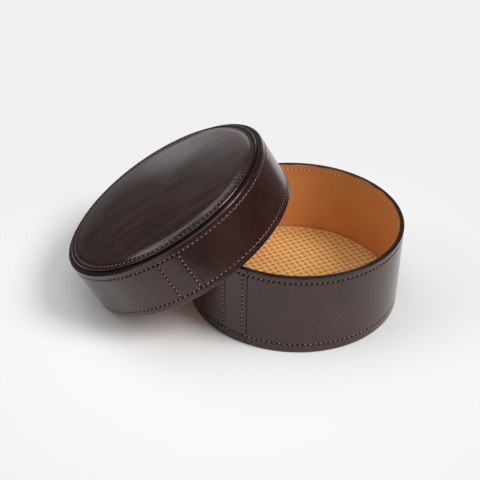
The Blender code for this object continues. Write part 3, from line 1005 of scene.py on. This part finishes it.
def skin_waves(azimuths, share):
    """The smooth functions of a disc, (1 - s^2) s^(k + 2j) cos(k a) and sin(k a), side by side."""
    waves = []
    for k in range(5):
        for j in range(3):
            hump = (1 - share**2) * share ** (k + 2 * j)
            waves.append(hump * np.cos(k * azimuths))
            if k:
                waves.append(hump * np.sin(k * azimuths))
    return np.stack(waves, axis=-1)


def slack_bell(azimuths, reach):
    """1 at the slack place in front and 0 away from it."""
    return bell(arc_gap(azimuths, SLACK_PLACE, 1.0), reach)


def blown_skin():
    """The disc of cloth before and after the solver: shares of the radius, azimuths and heights."""
    azimuths = disc_azimuths(SKIN_LINES)
    share = np.linspace(1, 0, SKIN_RINGS + 1)
    flat = np.stack([CROWN_RADIUS * share, np.zeros(len(share))], axis=-1)
    section = join((0, -SKIN_BED), (CROWN_RADIUS, -SKIN_BED), flat)
    spare = slack_bell(azimuths, 2 * SLACK_REACH)[:, None] * bell(share - SPARE_SHARE, SPARE_REACH)
    lift = np.hstack([np.zeros((SKIN_LINES, 2)), SPARE_RISE * spare * (1 - share**8)])
    skin = turned_piece("skin", BASE, azimuths, section, lift=lift, closed=False)
    columns = len(share)
    pinned = np.arange(SKIN_LINES)[:, None] * columns + [0, 1]
    group = skin.vertex_groups.new(name="pinned")
    group.add([*pinned.ravel().tolist(), SKIN_LINES * columns], 1.0, "REPLACE")
    cloth = skin.modifiers.new("cloth", "CLOTH")
    for name, value in SKIN_CLOTH.items():
        setattr(cloth.settings, name, value)
    cloth.settings.vertex_group_mass = "pinned"
    cloth.settings.effector_weights.gravity = 0
    cloth.point_cache.frame_end = SKIN_FRAMES
    scene = bpy.context.scene
    for step in range(1, SKIN_FRAMES + 1):
        scene.frame_set(step)
    blown = skin.evaluated_get(bpy.context.evaluated_depsgraph_get()).data
    points = np.empty(3 * len(blown.vertices), np.float32)
    blown.vertices.foreach_get("co", points)
    heights = points.reshape(-1, 3)[: SKIN_LINES * columns, 2].reshape(SKIN_LINES, columns)[:, 1:]
    bpy.data.meshes.remove(skin.data)
    scene.frame_set(1)
    return share[:-1], azimuths, heights.astype(float)


skin_weights = np.zeros(skin_waves(0.0, 0.0).shape)
skin_weights[0] = 1.0
share, azimuths, heights = blown_skin()
waves = skin_waves(azimuths[:, None], share[None, :])
skin_weights = np.linalg.lstsq(waves.reshape(-1, len(skin_weights)), heights.ravel(), rcond=None)[0]
misfit = np.abs(waves @ skin_weights - heights).max()
print("skin's middle, mm:", round(skin_weights[0] / MM, 3), "misfit, mm:", round(misfit / MM, 3))
skin_weights = skin_weights / skin_weights[0]

# %% [markdown]
# The padded panel
#
# Round its margin the panel is sewn down flat, so it swells as soon as it is past the stitches. Half
# of the swell is a steep shoulder, 1 - s^p, and half is the skin's dome. In front the felt fills the
# shoulder tightly (a high p). On the far side and the left it is thinner, so the crown stays lower
# there, and at the slack place it comes down in a straight slope. Every stitch draws the leather down
# and it puckers up between them, which fades a few millimetres in. The polishing rag never reaches
# into the sewn margin, so that stays dull.

# %% Build the panel and the felt under it
PANEL_ROUNDING = 0.75 * MM
CROWN_SHOULDER_SHARE = 0.5
CROWN_SHOULDER_POWER = 62
SOFT_POWER = 48
SOFT_SIDE = math.radians(155)
SOFT_DROP = 0.78
SLACK_START = 0.945
DULL_LEAST = 0.6 * MM
DULL_MORE = 9.0 * MM
PUCKER = 0.14 * MM
PUCKER_REACH = 3.5 * MM
CROWN_SWAY = 0.12 * MM
SWAY_SHARE = 0.6
SWAY_REACH = 30 * MM
PANEL_LINES_PER_STITCH = 5
BRUSH_TURN = math.radians(18)


def crown_rise(share, power=CROWN_SHOULDER_POWER, dome=None):
    """Height of the crown over the margin, at a share of its radius from the middle."""
    dome = 1 - share**2 if dome is None else dome
    return CROWN_RISE * (CROWN_SHOULDER_SHARE * (1 - share**power) + (1 - CROWN_SHOULDER_SHARE) * dome)


def crown_run(radius, height, count, swell=1.0):
    """Points of the crown from its edge to just short of the middle, close together at the edge."""
    share = 1 - np.linspace(0, 1, count) ** 2.2
    share = share[share > 0.004]
    return np.stack([radius * share, height + swell * crown_rise(share)], axis=-1)


def soft_side(azimuths):
    """1 where there is less felt under the leather, 0 where it is full."""
    return soft_step(np.cos(azimuths - SOFT_SIDE), -0.3, 0.35)


def crown_lift(azimuths, radii):
    """The swell of the crown at every azimuth and radius: on the soft side its shoulder has a lower
    power and sinks by a share of s^2, and a bell blends in the slack slope, 1 - t^1.5."""
    share = np.clip(radii / CROWN_RADIUS, 0, 1)[None, :]
    dome = skin_waves(azimuths[:, None], share) @ skin_weights
    soft = soft_side(azimuths)[:, None]
    power = CROWN_SHOULDER_POWER * (SOFT_POWER / CROWN_SHOULDER_POWER) ** soft
    sunk = SOFT_DROP * soft * share**2 * (1 - share**power)
    lift = crown_rise(share, power, dome) - CROWN_RISE * CROWN_SHOULDER_SHARE * sunk
    slope = np.clip((share - SLACK_START) / (1 - SLACK_START), 0, 1)
    slack = CROWN_RISE * (CROWN_SHOULDER_SHARE * (1 - slope**1.5) + (1 - CROWN_SHOULDER_SHARE) * dome)
    return lift + (slack - lift) * slack_bell(azimuths, SLACK_REACH)[:, None]


def panel_section():
    """The panel's section: its hollow underside, its cut edge, the sewn margin and the crown, which
    is still flat here."""
    hollow = crown_run(CROWN_RADIUS - PANEL_THICKNESS, PANEL_BED, 24)
    margin = run((PANEL_RADIUS - PANEL_ROUNDING, PANEL_TOP), (CROWN_RADIUS, PANEL_TOP), 15)
    return join(
        (0, PANEL_BED + CROWN_RISE),
        hollow[::-1],
        run((CROWN_RADIUS - PANEL_THICKNESS, PANEL_BED), (PANEL_RADIUS, PANEL_BED), 4),
        run((PANEL_RADIUS, PANEL_BED), (PANEL_RADIUS, PANEL_TOP - PANEL_ROUNDING), 3),
        arc((PANEL_RADIUS - PANEL_ROUNDING, PANEL_TOP - PANEL_ROUNDING), PANEL_ROUNDING, 0, 90),
        margin,
        crown_run(CROWN_RADIUS, PANEL_TOP, 60, swell=0.0),
        (0, PANEL_TOP),
    )


def panel_shape(azimuths, radii, upper):
    """The furrow and holes of the sewn row, and the puckers that fade in from it."""
    from_row = radii - PANEL_ROW_RADIUS
    holes = ring_holes(azimuths, radii, PANEL_ROW_RADIUS, PANEL_ROW_RADIUS) * upper
    push = -FURROW_DEPTH * furrow(from_row, FURROW_HALF_WIDTH) * upper - HOLE_DEPTH * holes
    pull = bell(from_row, PUCKER_REACH) * (1 - furrow(from_row, FURROW_HALF_WIDTH))
    wave = np.cos(azimuths * stitch_count(PANEL_ROW_RADIUS)) + 0.5 * hand_wave(azimuths, 21, 9, 40)
    return push - PUCKER * 0.5 * (1 + wave[:, None]) * pull * upper, holes


panel_lines = disc_azimuths(stitch_count(PANEL_ROW_RADIUS) * PANEL_LINES_PER_STITCH)
radii, heights = panel_section()
edge_start = int(np.argmax(radii >= PANEL_RADIUS - 1e-9))
upper = (np.arange(len(radii)) > edge_start).astype(float)
push, holes = panel_shape(panel_lines, radii, upper)
sway = CROWN_SWAY * hand_wave(panel_lines, 22, 2, 6)[:, None]
sway = sway * bell(radii - CROWN_RADIUS * SWAY_SHARE, SWAY_REACH)
lift = (crown_lift(panel_lines, radii) + sway) * upper
lift[:, -1] = CROWN_RISE
edge_ink = soft_step(radii, PANEL_RADIUS - PANEL_ROUNDING * 1.2, PANEL_RADIUS - PANEL_ROUNDING * 0.3)
dull_reach = DULL_LEAST + DULL_MORE * soft_side(panel_lines)[:, None]
margin_dull = soft_step(radii, CROWN_RADIUS - dull_reach, CROWN_RADIUS) * (1 - edge_ink)
brush_turn = Matrix.Rotation(-LID_LEAN, 3, "Y") @ Matrix.Rotation(BRUSH_TURN, 3, "Z")
PANEL_LEATHER = bridle_leather("bridle_leather_panel", 0.20, PANEL_DYES, brush_turn.to_euler())
panel = turned_piece("lid_padded_panel", LID, panel_lines, (radii, heights), push, lift, closed=False,
                     paints={"ink": edge_ink, "hole": hole_shade(holes), "dull": margin_dull})
settle(panel, "lid", "lid_panel", PANEL_LEATHER)

felt_top = crown_run(FELT_RADIUS, FELT_BED - GLUE_GAP, 16)
felt_top = felt_top[felt_top[:, 1] > FELT_BED]
felt_bed = run((0, FELT_BED), (felt_top[0, 0], FELT_BED), 6)
felt_section = join((0, FELT_BED), felt_bed, felt_top, (0, FELT_APEX))
felt = turned_piece("lid_felt", LID, disc_azimuths(96), felt_section, closed=False)
settle(felt, "lid", "lid_padding", FELT)

# %% [markdown]
# The tooled floor pad
#
# The floor of the base is a tan leather disc with a pattern pressed into it. Here it is a plain
# basket weave. A polar grid would waste its points in the middle, so the disc is a square grid
# pushed out to a circle: a point of the square at (a, b) keeps the larger of the two as its distance
# from the middle, and the other sets its angle.

# %% Build the floor pad
PAD_GRID = 300
WEAVE_CELL = 5.2 * MM
WEAVE_DEPTH = 0.75 * MM
WEAVE_TURN = math.radians(28)
PAD_ROUNDING = 0.6 * MM
PAD_BEVEL = 0.1 * MM
# The weave fades out between these two distances from the rounded edge, to a plain ring this high.
WEAVE_FADE = (1.6 * MM, 0.6 * MM)
PLAIN_SHARE = 0.75
HOLLOW_SHADE = 0.85
HOLLOW_SPAN = (0.30, 0.85)


def square_to_disc(a, b):
    """Concentric map of the square [-1, 1]^2 to the unit disc."""
    wide = np.abs(a) >= np.abs(b)
    reach = np.where(wide, a, b)
    with np.errstate(divide="ignore", invalid="ignore"):
        angle = np.where(wide, math.pi / 4 * b / a, math.pi / 2 - math.pi / 4 * a / b)
    angle = np.nan_to_num(angle)
    return reach * np.cos(angle), reach * np.sin(angle)


def weave_height(x, y):
    """Basket weave from 0 in its hollows to 1: each strand is rounded across, and rises and dives
    along itself like a cosine, half a wave behind its neighbour."""
    cosine, sine = math.cos(WEAVE_TURN), math.sin(WEAVE_TURN)
    p = (x * cosine + y * sine) / WEAVE_CELL
    q = (y * cosine - x * sine) / WEAVE_CELL

    def strand(along, across):
        row = np.floor(across)
        crest = np.sin(math.pi * (across - row))
        lift = 0.5 + 0.5 * np.cos(math.pi * (along - 0.5 + row))
        return crest * (0.15 + 0.85 * lift)

    return np.maximum(strand(p, q), strand(q, p + 1))


def pad_mesh():
    """The pressed disc: its tooled top, a rounded edge and a flat back that closes to one point."""
    side = np.linspace(-1, 1, PAD_GRID + 1)
    a, b = np.meshgrid(side, side, indexing="ij")
    x, y = square_to_disc(a, b)
    flat_radius = PAD_RADIUS - PAD_ROUNDING
    x, y = x * flat_radius, y * flat_radius
    reach = np.hypot(x, y)
    height = weave_height(x, y)
    plain = soft_step(reach, *(flat_radius - fade for fade in WEAVE_FADE))
    height = height * (1 - plain) + PLAIN_SHARE * plain
    top = np.stack([x, y, PAD_HIGH - WEAVE_DEPTH * (1 - height)], axis=-1).reshape(-1, 3)
    index = np.arange((PAD_GRID + 1) ** 2).reshape(PAD_GRID + 1, -1)
    quads = np.stack([index[:-1, :-1], index[1:, :-1], index[1:, 1:], index[:-1, 1:]], axis=-1)
    quads = quads.reshape(-1, 4)
    border = np.concatenate([index[:-1, 0], index[-1, :-1], index[:0:-1, -1], index[0, :0:-1]])
    rim = top[border]
    around = np.arctan2(rim[:, 1], rim[:, 0])
    drop = PAD_HIGH - WEAVE_DEPTH * (1 - PLAIN_SHARE)
    angle = np.radians([60, 30, 0])
    radii = [*(flat_radius + PAD_ROUNDING * np.cos(angle)), PAD_RADIUS, PAD_RADIUS - PAD_BEVEL]
    heights = [*(drop - PAD_ROUNDING * (1 - np.sin(angle))), PAD_LOW + PAD_BEVEL, PAD_LOW]
    circle = np.stack([np.cos(around), np.sin(around)], axis=-1)
    loops = [np.column_stack([r * circle, np.full(len(around), z)]) for r, z in zip(radii, heights)]
    points = np.concatenate([top, *loops, [[0, 0, PAD_LOW]]])
    faces = [quads]
    previous = border
    for number in range(len(loops)):
        current = len(top) + number * len(border) + np.arange(len(border))
        faces.append(np.stack([previous, current, np.roll(current, -1), np.roll(previous, -1)], axis=-1))
        previous = current
    middle = np.full(len(border), len(points) - 1)
    faces.append(np.stack([previous, middle, np.roll(previous, -1)], axis=-1))
    hollow = np.concatenate([(1 - height).ravel(), np.full(len(points) - len(top), 0.2)])
    return points, faces, hollow


points, faces, hollow = pad_mesh()
flat_uv = [points[block][..., :2] for block in faces]
pad = add_mesh("base_tooled_pad", into_world(points, BASE), faces, flat_uv)
# The weave's hollows are painted with shade.
paint(pad, "hollow", HOLLOW_SHADE * soft_step(hollow, *HOLLOW_SPAN))
settle(pad, "base", "base_floor_pad", PAD_LEATHER)

# %% [markdown]
# Eleven hundred saddle stitches
#
# In a saddle stitch each piece of thread comes out of one awl hole, crosses the surface at a slight
# slant and dives into the next. Its path is a simple formula: it runs evenly along the row, shifts
# evenly sideways, and its height follows 1 - u^4, which leaves a hole steeply and lies flat between.
# A small tube is carried along that path once. Then one product of arrays sets a copy of it at
# every stitch of a row, turned to the surface there, with seeded differences in length and slant.

# %% The shape of one stitch
THREAD_RADIUS = 0.33 * MM
THREAD_TAPER = 0.25
THREAD_SIDES = 6
THREAD_RINGS = 7
STITCH_SHARE = 0.64
STITCH_SLANT = 0.38 * MM
STITCH_DIVE = -0.95 * MM
# How much the stitches of a row differ: in length, in their shift sideways and in height.
STITCH_JITTER = (0.03, 0.16, 0.06)


def stitch_template(length):
    """Tube points (side, ring, xyz): x along the row, y to its side, z out of the leather."""
    t = np.linspace(-1, 1, THREAD_RINGS)
    path = np.stack([t * length / 2, t * STITCH_SLANT, STITCH_DIVE * t**4], axis=-1)
    tangent = np.gradient(path, axis=0)
    tangent /= np.linalg.norm(tangent, axis=1, keepdims=True)
    sideways = np.cross([0, 0, 1], tangent)
    sideways /= np.linalg.norm(sideways, axis=1, keepdims=True)
    upward = np.cross(tangent, sideways)
    angle = np.arange(THREAD_SIDES) / THREAD_SIDES * math.tau
    girth = THREAD_RADIUS * (1 - THREAD_TAPER * t**2)
    ring = np.cos(angle)[:, None, None] * sideways + np.sin(angle)[:, None, None] * upward
    tube = path + ring * girth[:, None]
    ends = np.broadcast_to(path[[0, -1]], (THREAD_SIDES, 2, 3))
    return np.concatenate([ends[:, :1], tube, ends[:, 1:]], axis=1)


def add_stitches(name, body, body_name, nodes, places, along, out, length, seed, thread=THREAD):
    """Copies the template to each place, with its axes along the row, sideways and outward."""
    draw = np.random.default_rng(seed)
    template = stitch_template(length)
    side = np.cross(out, along)
    jitter = 1 + draw.normal(0, 1, (len(places), 3)) * STITCH_JITTER
    axes = np.stack([along, side, out], axis=1) * jitter[:, :, None]
    tubes = np.einsum("srk,nkx->nsrx", template, axes) + places[:, None, None, :]
    blocks = surface_blocks(THREAD_SIDES, THREAD_RINGS + 2, False)
    inner = tubes[:, :, 1:-1].reshape(len(places), -1, 3)
    poles = np.stack([tubes[:, 0, 0], tubes[:, 0, -1]], axis=1)
    points = np.concatenate([inner, poles], axis=1)
    offset = np.arange(len(places))[:, None, None] * points.shape[1]
    faces = [(block[0] + offset).reshape(-1, block[0].shape[1]) for block in blocks]
    uvs = [
        np.tile(np.stack([j / (THREAD_RINGS + 1), i / THREAD_SIDES], axis=-1), (len(places), 1, 1))
        for _, i, j in blocks
    ]
    piece = add_mesh(name, into_world(points.reshape(-1, 3), body), faces, uvs)
    return settle(piece, body_name, nodes, thread)


# %% [markdown]
# Rows of stitches
#
# A row is only a list of places with two directions each. On a ring row the places lie halfway
# between the awl holes. At the rim, the foot and the mouth the same thread crosses the lining
# between the same holes, so those three rows have a second set of stitches, facing the axis.

# %% Sew the rows


def ring_row(radius, height, count, inward=False):
    """Places, row directions and outward directions of a ring of stitches on a wall."""
    azimuths = (np.arange(count) + 0.5) / count * math.tau
    flat = np.zeros(count)
    out = np.stack([np.cos(azimuths), np.sin(azimuths), flat], axis=-1)
    along = np.stack([-np.sin(azimuths), np.cos(azimuths), flat], axis=-1)
    places = out * radius + [0, 0, height]
    return (places, -along, -out) if inward else (places, along, out)


def upright_stitches(row, radius):
    """Places and directions of the stitches of an upright row, from its lowest hole up."""
    holes = upright_holes(row)
    middles = (holes[1:] + holes[:-1]) / 2
    out = np.array([math.cos(row[0]), math.sin(row[0]), 0])
    places = out * radius + np.array([0, 0, 1]) * middles[:, None]
    count = len(middles)
    return places, np.tile([0.0, 0, 1], (count, 1)), np.tile(out, (count, 1))


base_inner = BASE_LINING_RADIUS - LINING_THICKNESS
lid_inner = LID_LINING_RADIUS - LINING_THICKNESS
base_count = stitch_count(BASE_RADIUS)
lid_count = stitch_count(LID_RADIUS)
INNER_LIFT = 0.05 * MM

for part, body, body_name, radius, inner, height, count, seed in (
    ("rim", BASE, "base", BASE_RADIUS, base_inner, BASE_RIM_ROW, base_count, 31),
    ("foot", BASE, "base", BASE_RADIUS, base_inner, BASE_FOOT_ROW, base_count, 32),
    ("mouth", LID, "lid", LID_RADIUS, lid_inner, LID_MOUTH_ROW, lid_count, 33),
    ("top", LID, "lid", LID_RADIUS, None, LID_LEDGE_ROW, lid_count, 34),
):
    length = math.tau * radius / count * STITCH_SHARE
    node = f"{body_name}_{part}_stitching"
    row = ring_row(radius - THREAD_SINK, height, count)
    add_stitches(f"{body_name}_{part}_threads", body, body_name, node, *row, length, seed)
    if inner:
        row = ring_row(inner - INNER_LIFT, height, count, True)
        # At the foot the darker outer thread is used inside too: painted shade where the lining meets the
        # floor pad.
        thread = THREAD if part == "foot" else INNER_THREAD
        name = f"{body_name}_{part}_inner_threads"
        add_stitches(name, body, body_name, node, *row, length, seed + 20, thread)

for body, body_name, radius, seam, seed in (
    (BASE, "base", BASE_RADIUS, BASE_SEAM, 41),
    (LID, "lid", LID_RADIUS, LID_SEAM, 43),
):
    for row, side in zip(seam, ("left", "right")):
        holes = upright_holes(row)
        length = (holes[1] - holes[0]) * STITCH_SHARE
        stitches = upright_stitches(row, radius - THREAD_SINK)
        node = f"{body_name}_seam_stitching_{side}"
        add_stitches(f"{body_name}_seam_threads_{side}", body, body_name, node, *stitches, length, seed)
        seed += 1

panel_count = stitch_count(PANEL_ROW_RADIUS)
places, along, _ = ring_row(PANEL_ROW_RADIUS, PANEL_TOP - THREAD_SINK, panel_count)
upward = np.tile([0.0, 0, 1], (panel_count, 1))
length = math.tau * PANEL_ROW_RADIUS / panel_count * STITCH_SHARE
add_stitches("lid_panel_threads", LID, "lid", "lid_panel_stitching", places, -along, upward, length, 35)

# %% [markdown]
# What stays as it was packed
#
# The two stiffener boards are flat card discs shut inside the leather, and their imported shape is
# right. They keep it and only get their material, in place of the one they were packed with.

# %% Finish the boards
for node in ("base_board", "lid_board"):
    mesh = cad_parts[node].data
    mesh.materials.clear()
    mesh.materials.append(BOARD)

# %% [markdown]
# Floor and light
#
# Polished dark leather shows mostly what it mirrors, so the light is laid out as the things that the
# leather sees. A key lamp from the right throws the shadow in the base and beside the lid. Soft
# patches of sky stand for a window at the left, a broad softbox over the back, a weak one in front,
# a pale ceiling and a lit backdrop. The rest of the sky is nearly dark, which keeps the leather deep.
# The box stands on a pale sheet on a darker table, whose edge is what darkens the leather's
# reflections. The sheet widens to the back, as the camera's view does, and round the box it is
# painted paler: painted light, which lightens the shadows near the box.

# %% Build the floor, the world and the lamp
FLOOR_SIZE = 14.0
FLOOR_DROP = 0.15 * MM
FLOOR_PALE = (0.735, 0.735, 0.738)
# Paler floor round the box: painted light that lightens the shadows near it.
FLOOR_PAINTED_LIGHT = (0.82, 0.82, 0.822)
FLOOR_FAR = (0.10, 0.10, 0.10)
SHEET_LEFT = 0.28
SHEET_LEFT_SLANT = 0.24
SHEET_RIGHT = 0.20
SHEET_RIGHT_SLANT = 0.17
SHEET_MIDDLE = 0.24
SHEET_HALF_DEPTH = 0.49
SHEET_FADE = 1.10
PAINTED_LIGHT_PLACE = (-0.03, -0.04, 0)
PAINTED_LIGHT_REACH = (0.12, 0.27)
LAMP_STRENGTH = 2.2
LAMP_AZIMUTH = math.radians(-20)
LAMP_ELEVATION = math.radians(45)
LAMP_SPREAD = math.radians(26)
LAMP_COLOUR = (1.0, 0.99, 0.975)
SKY_GLOW = 0.05
# Each patch: azimuth and elevation of its middle, inner and outer reach, all in degrees, and strength.
SKY_PATCHES = {
    "window": (193, 35, 8, 20, 2.6),
    "softbox": (147, 51, 13, 32, 1.25),
    "fill": (-70, 44, 17, 38, 0.7),
    "ceiling": (341, 86, 14, 34, 1.35),
    "backdrop": (91, 0, 22, 29, 0.85),
}


def toward(azimuth, elevation):
    """The unit vector that points to an azimuth and elevation, in radians."""
    flat = math.cos(elevation)
    return Vector((flat * math.cos(azimuth), flat * math.sin(azimuth), math.sin(elevation)))


def add_floor():
    """A pale matt sheet on a darker table. It widens to the back, as the camera's view does, and round the
    box it has painted light.
    """
    half = FLOOR_SIZE / 2
    corners = np.array([(-half, -half, 0), (half, -half, 0), (half, half, 0), (-half, half, 0)])
    faces = [np.array([[0, 1, 2, 3]])]
    floor = add_mesh("floor", corners - [0, 0, FLOOR_DROP], faces, [corners[None, :, :2]])
    material, tree, shader = start_material("floor_paper", Roughness=0.9, Specular_IOR_Level=0.1)
    part = add_node(tree, "ShaderNodeSeparateXYZ", {0: own_place(tree)})
    x, y = part.outputs["X"], part.outputs["Y"]
    left = maths(tree, "ADD", x, maths(tree, "MULTIPLY", y, SHEET_LEFT_SLANT))
    right = maths(tree, "ADD", x, maths(tree, "MULTIPLY", y, -SHEET_RIGHT_SLANT))
    left, right = maths(tree, "DIVIDE", left, -SHEET_LEFT), maths(tree, "DIVIDE", right, SHEET_RIGHT)
    aside = maths(tree, "MAXIMUM", left, right)
    deep = maths(tree, "ABSOLUTE", maths(tree, "SUBTRACT", y, SHEET_MIDDLE))
    deep = maths(tree, "DIVIDE", deep, SHEET_HALF_DEPTH)
    far = span(tree, maths(tree, "MAXIMUM", aside, deep), 1.0, SHEET_FADE)
    # Painted light: the sheet is paler round the box, which lightens the shadows there.
    inputs = {0: own_place(tree), 1: PAINTED_LIGHT_PLACE}
    away = add_node(tree, "ShaderNodeVectorMath", inputs, operation="DISTANCE")
    away = span(tree, away.outputs["Value"], *PAINTED_LIGHT_REACH)
    sheet = colour_mix(tree, away, FLOOR_PAINTED_LIGHT, FLOOR_PALE)
    feed(tree, shader, Base_Color=colour_mix(tree, far, sheet, FLOOR_FAR))
    floor.data.materials.append(material)
    return floor


def sky_patch(tree, direction, azimuth, elevation, inner, outer, strength):
    """Strength within the inner reach of the patch's middle, fading to nothing at the outer."""
    middle = toward(math.radians(azimuth), math.radians(elevation))
    inputs = {0: direction, 1: middle}
    facing = add_node(tree, "ShaderNodeVectorMath", inputs, operation="DOT_PRODUCT").outputs["Value"]
    low, high = math.cos(math.radians(outer)), math.cos(math.radians(inner))
    inputs = {"Value": facing, "From Min": low, "From Max": high, "To Min": 0.0, "To Max": strength}
    return add_node(tree, "ShaderNodeMapRange", inputs, interpolation_type="SMOOTHSTEP").outputs["Result"]


def add_world():
    """A dim sky with the soft patches added to it."""
    world = bpy.data.worlds.new("studio")
    world.use_nodes = True
    tree = world.node_tree
    background = tree.nodes["Background"]
    background.inputs["Color"].default_value = (1, 1, 1, 1)
    direction = add_node(tree, "ShaderNodeTexCoord").outputs["Generated"]
    strength = SKY_GLOW
    for patch in SKY_PATCHES.values():
        strength = maths(tree, "ADD", strength, sky_patch(tree, direction, *patch))
    tree.links.new(strength, background.inputs["Strength"])
    bpy.context.scene.world = world


def add_lamp():
    lamp = bpy.data.lights.new("key", "SUN")
    lamp.energy = LAMP_STRENGTH
    lamp.angle = LAMP_SPREAD
    lamp.color = LAMP_COLOUR
    item = add_object("key", lamp)
    direction = toward(LAMP_AZIMUTH, LAMP_ELEVATION)
    item.rotation_euler = direction.to_track_quat("Z", "Y").to_euler()
    item.location = direction


add_floor()
add_world()
add_lamp()
bpy.context.scene.view_settings.view_transform = "Standard"

# %% [markdown]
# The camera
#
# The camera was found by fitting the outlines of rim, foot, ledge, panel and stitch rows to the
# photograph. It looks down by about 34 degrees through a long lens, 26 mm left of the base's axis
# and some 830 mm away from the middle of the base's foot.

# %% Set the camera
CAMERA_PLACE = Vector((-26.1, -668.2, 493.1)) * MM
CAMERA_PITCH = math.radians(33.886)
CAMERA_YAW = math.radians(1.536)
CAMERA_ROLL = math.radians(0.954)
CAMERA_LENS = 75.0
SENSOR = 36.0


def add_camera():
    data = bpy.data.cameras.new("camera")
    data.lens = CAMERA_LENS
    data.sensor_width = SENSOR
    data.clip_start = 0.05
    data.clip_end = 50
    item = add_object("camera", data)
    tilt = Matrix.Rotation(math.pi / 2 - CAMERA_PITCH, 4, "X")
    turn = Matrix.Rotation(CAMERA_YAW, 4, "Z")
    roll = Matrix.Rotation(CAMERA_ROLL, 4, "Z")
    item.matrix_world = Matrix.Translation(CAMERA_PLACE) @ turn @ tilt @ roll
    bpy.context.scene.camera = item


add_camera()
